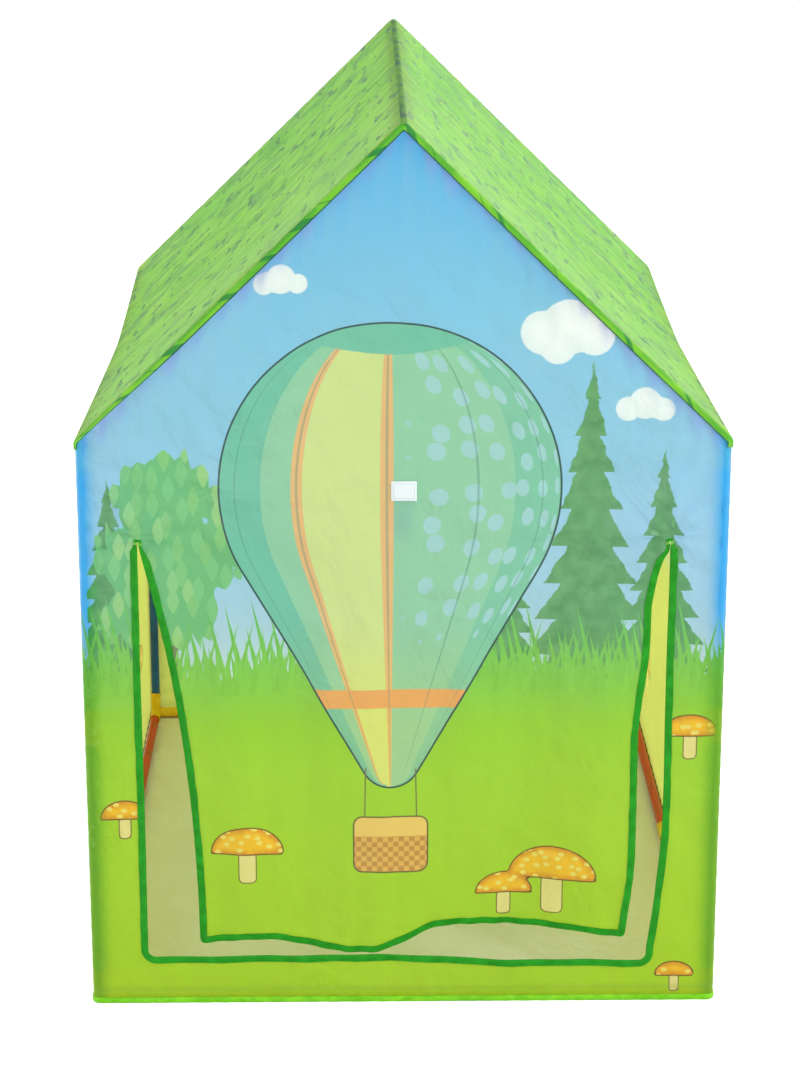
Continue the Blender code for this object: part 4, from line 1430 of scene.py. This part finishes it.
def roof_folds(along, below, slope_share, edge_gap, seed):
    """How far a slope stands out from the straight line between its tubes."""
    bell = np.sin(pi * slope_share)
    to_edge = np.clip(1 - edge_gap / ROOF_Y, 0, 1)
    flat = ease(edge_gap, 0.0, 0.03)
    side_gap = edge_gap + 0 * below
    fade = ease(side_gap, 0.0, 0.008) * ease(slope_share, 0.01, 0.06)
    fade = fade * (1 - ease(slope_share, 0.95, 0.99))
    out = -ROOF_SAG * bell * (1 - to_edge**4)
    out = out + 0.0016 * bell * flat * folds(along, below, 0.20, seed)
    out = out + 0.0007 * bell**0.5 * flat * folds(0.6 * along, below + 0.3 * along, 0.06, seed + 1)
    out = out + 0.0007 * gathers(along, below, 0.021, 0.018, seed + 2) * ease(below, 0.004, 0.012)
    out = out + 0.0009 * gathers(below, side_gap, 0.024, 0.022, seed + 3) * fade
    out = out + 0.0010 * crease(along + 0.02, 0.02) * bell * flat
    return out + 0.0008 * crease(below - 0.26, 0.02) * bell * flat


def roof_slope(side, turn, narrow, seed):
    """One slope, sewn and laid. narrow is the share of the gable lip that is left at the eaves."""
    x, z, kinds = roof_profile()
    y, drop, flat_y = gable_columns()
    gone = run_along(x, z)
    down = gone[-1] - gone
    normal_x, normal_z = roof_normals(x, z, kinds)
    lip_x, lip_z = gable_lip(x, z, kinds, gone, narrow)
    on_lip = (kinds == ON_LIP)[:, None]
    on_slope = x[kinds == ON_SLOPE]
    slope_share = np.clip((x - on_slope.min()) / np.ptp(on_slope), 0, 1)[:, None]
    edge_gap = (ROOF_Y - np.abs(y))[None, :]
    along = flat_y[None, :] + 0 * down[:, None]
    below = down[:, None] + 0 * flat_y[None, :]
    out = roof_folds(along, below, slope_share, edge_gap, seed)
    depth = drop[None, :] / GABLE_LIP
    px = x[:, None] + normal_x[:, None] * out + depth * (lip_x - x)[:, None]
    pz = z[:, None] + normal_z[:, None] * out + depth * (lip_z - z)[:, None]
    px = px - eaves_pull(y)[None, :] * np.clip(x / POST_X, 0, 1)[:, None]
    shorter = (1 - EAVES_LIP) * (1 - ease(edge_gap, 0.004, 0.03)) * on_lip
    pz = pz + (EAVES_Z - pz) * shorter
    wave = 0.0005 * gathers(below, 0 * below, 0.019, 1.0, seed + 5) * depth * np.sign(y)[None, :]
    py = y[None, :] + wave + 0 * below
    lip_wave = 0.0006 * gathers(along, 0 * along, 0.026, 1.0, seed + 6) * on_lip * (1 - depth)
    grid = np.stack([turn * (px + lip_wave), turn * py, pz], axis=-1)
    band = np.maximum(ease(np.abs(along), ROOF_Y - 0.0035, ROOF_Y - 0.0025), on_lip * 1.0)
    cloth = np.stack([along, below, band], axis=-1)
    slope = sewn_sheet(f"roof_cloth_{side}", grid, cloth, (ROOF_FINISH, ROOF_LINING))
    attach(slope, "tent")
    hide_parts(f"roof_{side}")


roof_slope("right", 1, 0.9, 121)
roof_slope("left", -1, 0.5, 141)

# %% [markdown]
# Where the slopes meet, a strip of the same cloth is sewn over the seam along the ridge. The thread
# gathers it a little, so it is a low bead whose height and width change along it.

# %% The ridge seam
BEAD_HALF_TURN = 0.38
BEAD_POINTS = 8
run = spaced([-ROOF_Y + 0.001, ROOF_Y - 0.001], 0.003)
uneven = gathers(run, 0 * run, 0.019, 1.0, 160)
ends = ease(ROOF_Y - np.abs(run), 0.001, 0.007)
bead = (0.0009 + 0.00035 * uneven) * (0.35 + 0.65 * ends)
spread = 1 + 0.05 * folds(run, 0 * run, 0.05, 161)
top, under = [], []
for turn in np.linspace(-BEAD_HALF_TURN, BEAD_HALF_TURN, BEAD_POINTS):
    dome = 1 - (turn / BEAD_HALF_TURN) ** 4
    angle = pi / 2 + turn * spread
    for row, radius in ((top, COVER + bead * (0.25 + 0.75 * dome)), (under, COVER - 0.0004)):
        row.append(np.stack([radius * np.cos(angle), run, RIDGE_Z + radius * np.sin(angle)], axis=-1))
rings = np.stack(top + under[::-1], axis=1)
across = np.concatenate([np.linspace(0, 1, BEAD_POINTS), np.linspace(1, 0, BEAD_POINTS)])
ridge_tape = skin("ridge_seam_tape", rings, RIDGE_FINISH, run, across)
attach(ridge_tape, "tent")

# %% [markdown]
# The floor is a loose sheet, sewn to the walls' feet. It lies flat under the ground tubes and has low
# wrinkles in the middle, where the feet of children push it about.

# %% The floor
FLOOR_EDGE = 0.0012
x_run = spaced([-WALL_X + FLOOR_EDGE, WALL_X - FLOOR_EDGE], 0.009)
y_run = spaced([-WALL_Y + FLOOR_EDGE, WALL_Y - FLOOR_EDGE], 0.009)
y, x = np.meshgrid(y_run, x_run, indexing="ij")
free = ease(WALL_X - np.abs(x), 0.04, 0.12) * ease(WALL_Y - np.abs(y), 0.04, 0.12)
ripple = folds(x, y, 0.16, 171) + 0.5 * folds(x, y, 0.07, 172)
height = 0.0009 + 0.0030 * free * np.clip(ripple + 0.4, 0, 2) + 0.002 * free * crease(x, 0.02)
grid = np.stack([x, y, height], axis=-1)
floor = sewn_sheet("floor_cloth", grid, np.stack([x, y, 0 * x], axis=-1), (FLOOR_FINISH,))
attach(floor, "tent")
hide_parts("floor_sheet")

# %% [markdown]
# The flap itself. From its hinge line it leaves the wall's plane in a short curve, instead of breaking
# along a line.

# %% The door flap
INSET = 0.0022
across = np.linspace(-1, 1, 141)
up = spaced([0.0, 1.0], ROW_SHARE)
down = np.repeat((1 - up)[:, None], across.size, axis=1)
left = flap_left(down) + INSET
x = left + (flap_right(down) - INSET - left) * (across[None, :] + 1) / 2
foot = hem_line(x) + INSET
z = foot + (DOOR_TOP - foot) * up[:, None]
y = -(WALL_Y + flap_folds(x, z))
grid = np.stack([x, y, z], axis=-1)
cloth = np.stack([x, z, 0 * x], axis=-1)
inks = print_shapes(x, z, *FRONT_SHAPES)
flap = sewn_sheet("door_flap_cloth", grid, cloth, (WALL_FINISH, WALL_LINING), inks)
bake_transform(flap)
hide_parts("door_flap")

# %% [markdown]
# Bias tape is folded over a raw edge and sewn through, so its section is a flat letter C with the
# cloth in its mouth. Rings of that section follow the edge. Along the doorway the tape lies smooth;
# along the flap it is a little too long for the cloth and crinkles.

# %% Tape folded over an edge


def even_path(points, step, smoothing=0):
    """The same path with points a step apart, its corners rounded."""
    x, y = points.T
    gone = run_along(x, y)
    count = max(2, round(gone[-1] / step)) + 1
    at = np.linspace(0, gone[-1], count)
    even = np.stack([np.interp(at, gone, x), np.interp(at, gone, y)], axis=-1)
    for _ in range(smoothing):
        even[1:-1] = even[:-2] * 0.25 + even[1:-1] * 0.5 + even[2:] * 0.25
    return even


CRINKLE = 0.00042
TAPE_SECTION = (
    (1.0, 0.00045), (1.0, 0.00085), (0.5, 0.00105), (0.08, 0.00092), (-0.05, 0.00055), (-0.09, 0.0),
    (-0.05, -0.00055), (0.08, -0.00092), (0.5, -0.00105), (1.0, -0.00085), (1.0, -0.00045),
    (0.05, -0.0004), (0.03, 0.0), (0.05, 0.0004),
)


def edge_tape(name, path, hand, surface, crinkle, slim, seed):
    """Tape along a path in the wall's plane. hand is the side the cloth is on, surface its folds.

    At its ends the tape is folded to half its width. It widens between the two lengths in slim.
    """
    tangent = directions(path)
    into = hand * np.stack([tangent[:, 1], -tangent[:, 0]], axis=-1)
    along = run_along(*path.T)
    buckle = 1 + gathers(along, 0 * along, 0.017, 1.0, seed)
    wide = 1 + 0.05 * folds(along, 0 * along, 0.04, seed + 1)
    wide = wide * (0.5 + 0.5 * ease(np.minimum(along, along[-1] - along), *slim))
    rings = np.zeros((along.size, len(TAPE_SECTION), 3))
    for k, (inwards, outwards) in enumerate(TAPE_SECTION):
        x, z = (path + into * (inwards * TAPE_WIDTH * wide)[:, None]).T
        bulge = np.clip(4 * inwards * (1.15 - inwards), 0, 1) * (abs(outwards) > CLOTH)
        lift = outwards + np.sign(outwards) * CRINKLE * crinkle * buckle * bulge
        rings[:, k] = np.stack([x, -(WALL_Y - CLOTH / 2 + surface(x, z) + lift), z], axis=-1)
    across = np.clip([section[0] for section in TAPE_SECTION], 0, 1)
    tape = skin(name, rings, TAPE_FINISH, along, across)
    return tape


# %% [markdown]
# The doorway's tape starts with a small arch over the top of the left slit, follows the jamb down,
# the sill across and the other jamb up, and ends with the same arch. The flap's tape tucks under the
# arches and follows its three cut edges.

# %% The green tapes
ARCH = 0.0011
SILL_CORNER = 0.010


def arc(x, z, radius, turn):
    """Points of an arc round a middle, in the wall's plane."""
    return np.stack([x + radius * np.cos(turn), z + radius * np.sin(turn)], -1)


arch = arc(-JAMB + ARCH, DOOR_TOP - 0.001, ARCH, np.linspace(0, pi, 12))
corner_turn = np.linspace(pi, 1.5 * pi, 10)
corner = arc(-JAMB + SILL_CORNER, SILL + SILL_CORNER, SILL_CORNER, corner_turn)
left_half = np.vstack([[[-JAMB + 2 * ARCH, DOOR_TOP - 0.005]], arch, corner, [[0, SILL]]])
right_half = left_half[::-1][1:] * np.array([[-1, 1]])
door_x, door_z = even_path(np.vstack([left_half, right_half]), step=0.0022).T
doorway_path = np.stack([door_x - jamb_lean(door_x, door_z), door_z - sill_sag(door_x, door_z)], -1)
doorway_tape = edge_tape("doorway_tape", doorway_path, 1, front_folds, 0.25, (0.010, 0.018), 180)
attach(doorway_tape, "tent")
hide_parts("doorway_binding")

down = np.linspace(0.008, 1, 160)
left_x = flap_left(down)
left_z = HINGE_Z + (hem_line(left_x) - HINGE_Z) * down
right_x = flap_right(down)[::-1]
hem_x = np.linspace(left_x[-1], right_x[0], 160)[1:-1]
right_z = HINGE_Z + (hem_line(right_x) - HINGE_Z) * down[::-1]
flap_path = np.vstack([np.stack([left_x, left_z], -1), np.stack([hem_x, hem_line(hem_x)], -1),
                       np.stack([right_x, right_z], -1)])
flap_path = even_path(flap_path, step=0.0025, smoothing=5)
flap_tape = edge_tape("flap_tape", flap_path, -1, flap_folds, 1.0, (0.004, 0.024), 190)
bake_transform(flap_tape)
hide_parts("flap_binding")
FLAP_DROP = DOOR_TOP - float(np.mean(hem_line(hem_x)))
FLAP_AREA = float(np.mean(right_x[::-1] - left_x)) * FLAP_DROP

# %% [markdown]
# The foot of the walls is closed by a lime hem that runs all the way round, a flat tube about seven
# millimetres high. It touches the ground, and its thread gathers it slightly.

# %% The hem round the foot


def foot_path(step):
    """The wall's foot in plan, all the way round, with outward directions."""
    quarter = np.linspace(0, pi / 2, CORNER_POINTS)
    inner_x = WALL_X - CORNER_RADIUS
    inner_y = WALL_Y - CORNER_RADIUS
    points = []
    for corner, (side_x, side_y) in enumerate(((1, 1), (-1, 1), (-1, -1), (1, -1))):
        turn = quarter + corner * pi / 2
        points.append(np.stack([side_x * inner_x + CORNER_RADIUS * np.cos(turn),
                                side_y * inner_y + CORNER_RADIUS * np.sin(turn)], -1))
    path = np.vstack([*points, points[0][:1]])
    return even_path(path, step)[:-1]


foot = foot_path(step=0.004)
tangent = np.roll(foot, -1, axis=0) - np.roll(foot, 1, axis=0)
tangent = tangent / np.linalg.norm(tangent, axis=1)[:, None]
outward = np.stack([tangent[:, 1], -tangent[:, 0]], -1)
along = run_along(*foot.T)
buckle = gathers(along, 0 * along, 0.022, 1.0, 200)
HEM_TOP = 0.007
HEM_SECTION = (
    (-0.0004, 0.0004), (0.0006, 0.0001), (0.0012, 0.0010), (0.00135, 0.0034),
    (0.0011, 0.0058), (0.0006, 0.0068), (-0.0002, HEM_TOP), (-0.0006, 0.0036),
)
rings = np.zeros((along.size, len(HEM_SECTION), 3))
for k, (out, rise) in enumerate(HEM_SECTION):
    rings[:, k, :2] = foot + outward * (out + 0.00025 * buckle * (out > 0.0005))[:, None]
    rings[:, k, 2] = rise + 0.0003 * buckle * (rise > 0.005)
across = np.array([rise / HEM_TOP for _, rise in HEM_SECTION])
hem = skin("base_hem", rings, HEM_FINISH, along, across, loop=True)
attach(hem, "tent")
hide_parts("base_piping")

# %% [markdown]
# The loop patch above the door is a small rectangle of tape. It is modelled as by hand: a cube at its
# size, its edges rounded, its front face inset twice and pressed in a little to leave the sewn border.

# %% The loop patch
PATCH_THICK = 0.0012
PATCH_Y = -WALL_Y - PATCH_THICK / 2
bpy.ops.object.select_all(action="DESELECT")
bpy.ops.mesh.primitive_cube_add(size=1, location=(0, PATCH_Y, PATCH_Z))
patch = bpy.context.object
patch.name = "loop_patch_tape"
patch.data.name = "loop_patch_tape"
patch.scale = (PATCH_SIZE[0], PATCH_THICK, PATCH_SIZE[1])
bpy.ops.object.transform_apply(location=True, rotation=True, scale=True)
bpy.ops.object.mode_set(mode="EDIT")
bpy.ops.mesh.select_all(action="SELECT")
bpy.ops.mesh.bevel(offset=0.00045, segments=3, affect="EDGES")
bpy.ops.object.mode_set(mode="OBJECT")
for face in patch.data.polygons:
    face.select = face.normal.y < -0.9 and face.area > 0.0001
bpy.ops.object.mode_set(mode="EDIT")
bpy.ops.mesh.select_mode(type="FACE")
bpy.ops.mesh.inset(thickness=0.0022)
bpy.ops.mesh.inset(thickness=0.0006, depth=-0.00025)
bpy.ops.mesh.inset(thickness=0.0006, depth=0.00035)
bpy.ops.object.mode_set(mode="OBJECT")
patch.data.materials.append(PATCH_FINISH)
bpy.ops.object.shade_smooth_by_angle(angle=radians(35))
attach(patch, "tent")
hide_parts("loop_patch")
print("patch faces", len(patch.data.polygons))

# %% [markdown]
# Behind the wall a strap of hook tape hangs folded in two, ready to reach round the rolled-up flap. It
# is a ribbon that follows a path: down, round a small bend, and up again.

# %% The tieback strap
STRAP_LOW, STRAP_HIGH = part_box("tieback_strap")
STRAP_THICK = 0.0011
DOWN_POINTS = 14
UP_POINTS = 12
front_y = STRAP_LOW.y + STRAP_THICK / 2
back_y = STRAP_HIGH.y - STRAP_THICK / 2
bend = np.linspace(pi, 2 * pi, 12)
bend_radius = (back_y - front_y) / 2
bend_z = STRAP_LOW.z + STRAP_THICK / 2 + bend_radius
bent_y = front_y + bend_radius + bend_radius * np.cos(bend)
bent_z = bend_z + bend_radius * np.sin(bend)
down_z = np.linspace(STRAP_HIGH.z, bend_z, DOWN_POINTS + 1)[:-1]
up_z = np.linspace(bend_z, STRAP_HIGH.z - 0.010, UP_POINTS + 1)[1:]
strap_y = np.concatenate([np.full(DOWN_POINTS, front_y), bent_y, np.full(UP_POINTS, back_y)])
strap_z = np.concatenate([down_z, bent_z, up_z])
tangent_y, tangent_z = directions(np.stack([strap_y, strap_z], -1)).T
section = ((1.0, 0.3), (0.97, 0.5), (0.0, 0.5), (-0.97, 0.5), (-1.0, 0.3),
           (-1.0, -0.3), (-0.97, -0.5), (0.0, -0.5), (0.97, -0.5), (1.0, -0.3))
rings = np.zeros((strap_y.size, len(section), 3))
for k, (side, lift) in enumerate(section):
    rings[:, k, 0] = side * STRAP_HIGH.x
    rings[:, k, 1] = strap_y - tangent_z * lift * STRAP_THICK
    rings[:, k, 2] = strap_z + tangent_y * lift * STRAP_THICK
along = run_along(strap_y, strap_z)
strap = skin("tieback_strap_band", rings, STRAP_FINISH, along, np.array([side for side, _ in section]))
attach(strap, "strap")
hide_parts("tieback_strap")

# %% [markdown]
# At the top of each slit a bar tack holds the tapes together: a few passes of thick yellow-green
# thread across the tip. Each pass is a thin round thread that arches over the tape.

# %% The bar tacks


def cotton(name):
    dye = Dye(name)
    twist = dye.noise(dye.place(), 2400.0)
    colour = dye.ramp(twist, (0.3, srgb(120, 200, 60)), (0.7, srgb(188, 232, 110)))
    return dye.finish(dye.coat(colour, 0.6, dye.bump(twist, 0.0001, 0.8)))


THREAD_FINISH = cotton("yellow-green sewing thread")
THREAD_RADIUS = 0.00028
around = np.linspace(0, 2 * pi, 7)[:-1]
share = np.linspace(-1, 1, 13)
TACK_HALF = 0.0050
TACK_LIFTS = (0.0, 0.0011, 0.0024)
bow = 0.0011 + 0.0005 * (1 - share**4)
radius = THREAD_RADIUS * np.sqrt(np.maximum(1 - share**8, 0.05))
for side, side_name in ((-1, "left"), (1, "right")):
    for row, lift in enumerate(TACK_LIFTS):
        x = side * (JAMB - ARCH) + TACK_HALF * share
        z = DOOR_TOP - 0.0035 + lift + 0.0007 * side * share
        y = -(WALL_Y - CLOTH / 2 + front_folds(x, z) + bow)
        rings = [np.stack([x, y + radius * cos(turn), z + radius * sin(turn)], -1) for turn in around]
        tack = skin(f"bar_tack_{side_name}_{row}", np.stack(rings, 1), THREAD_FINISH, share, around)
        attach(tack, "tent")

# %% [markdown]
# The studio is a wide white floor and soft lamps. The brighter side is the right, so the right roof
# slope is the paler one. A low lamp on either side shines through the side walls and lights the
# inside. The right one is weak, because the key lamp already lights that wall. Camera rays see the
# floor and the world as white paper, while the floor keeps the shadow that the tent throws on it.

# %% The studio
PAPER_WHITE = (1.0, 1.0, 1.0, 1.0)
PAPER_GLOW = 0.62
ROOM_LIGHT = 0.48

dye = Dye("white studio floor")
rays = dye.node("ShaderNodeLightPath", {}, {}, "Is Camera Ray")
matt = dye.node("ShaderNodeBsdfDiffuse", {}, {"Color": srgb(238, 238, 238)})
paper = dye.node("ShaderNodeEmission", {}, {"Color": PAPER_WHITE, "Strength": rays * PAPER_GLOW})
studio_white = dye.finish(dye.node("ShaderNodeAddShader", {}, {0: matt, 1: paper}))
bpy.ops.object.select_all(action="DESELECT")
bpy.ops.mesh.primitive_plane_add(size=40, location=(0, 0, 0))
ground = bpy.context.object
ground.name = "studio_floor"
ground.data.materials.append(studio_white)

room = Dye("soft white room", bpy.data.worlds.new("soft white room"))
seen = room.node("ShaderNodeLightPath", {}, {}, "Is Camera Ray")
for ray in ("Is Glossy Ray", "Is Transmission Ray"):
    seen = seen.highest(room.node("ShaderNodeLightPath", {}, {}, ray))
strength = room.node("ShaderNodeMapRange", {}, {"Value": seen, "To Min": ROOM_LIGHT, "To Max": 1.0})
white = room.node("ShaderNodeBackground", {}, {"Color": PAPER_WHITE, "Strength": strength})
bpy.context.scene.world = room.finish(white, "ShaderNodeOutputWorld")

LAMPS = (
    ("key lamp", (3.3, -2.4, 2.8), 1.6, 108),
    ("fill lamp", (-1.4, -3.6, 1.0), 2.6, 46),
    ("top lamp", (2.0, 0.4, 3.6), 3.0, 34),
    ("rear lamp", (1.8, 3.3, 2.3), 2.4, 36),
    ("left side lamp", (-3.2, 0.3, 0.8), 2.0, 54),
    ("right side lamp", (3.2, 0.3, 1.0), 2.0, 8),
)
LAMPS_AIM = Vector((0, 0, 0.5))
for lamp_name, place, size, watts in LAMPS:
    light = bpy.data.lights.new(lamp_name, "AREA")
    light.shape = "DISK"
    light.size = size
    light.energy = watts
    lamp = bpy.data.objects.new(lamp_name, light)
    lamp.location = place
    aim = LAMPS_AIM - Vector(place)
    lamp.rotation_euler = aim.to_track_quat("-Z", "Y").to_euler()
    bpy.context.collection.objects.link(lamp)
bpy.context.scene.view_settings.view_transform = "Standard"
print("studio lit by", len(LAMPS), "lamps")
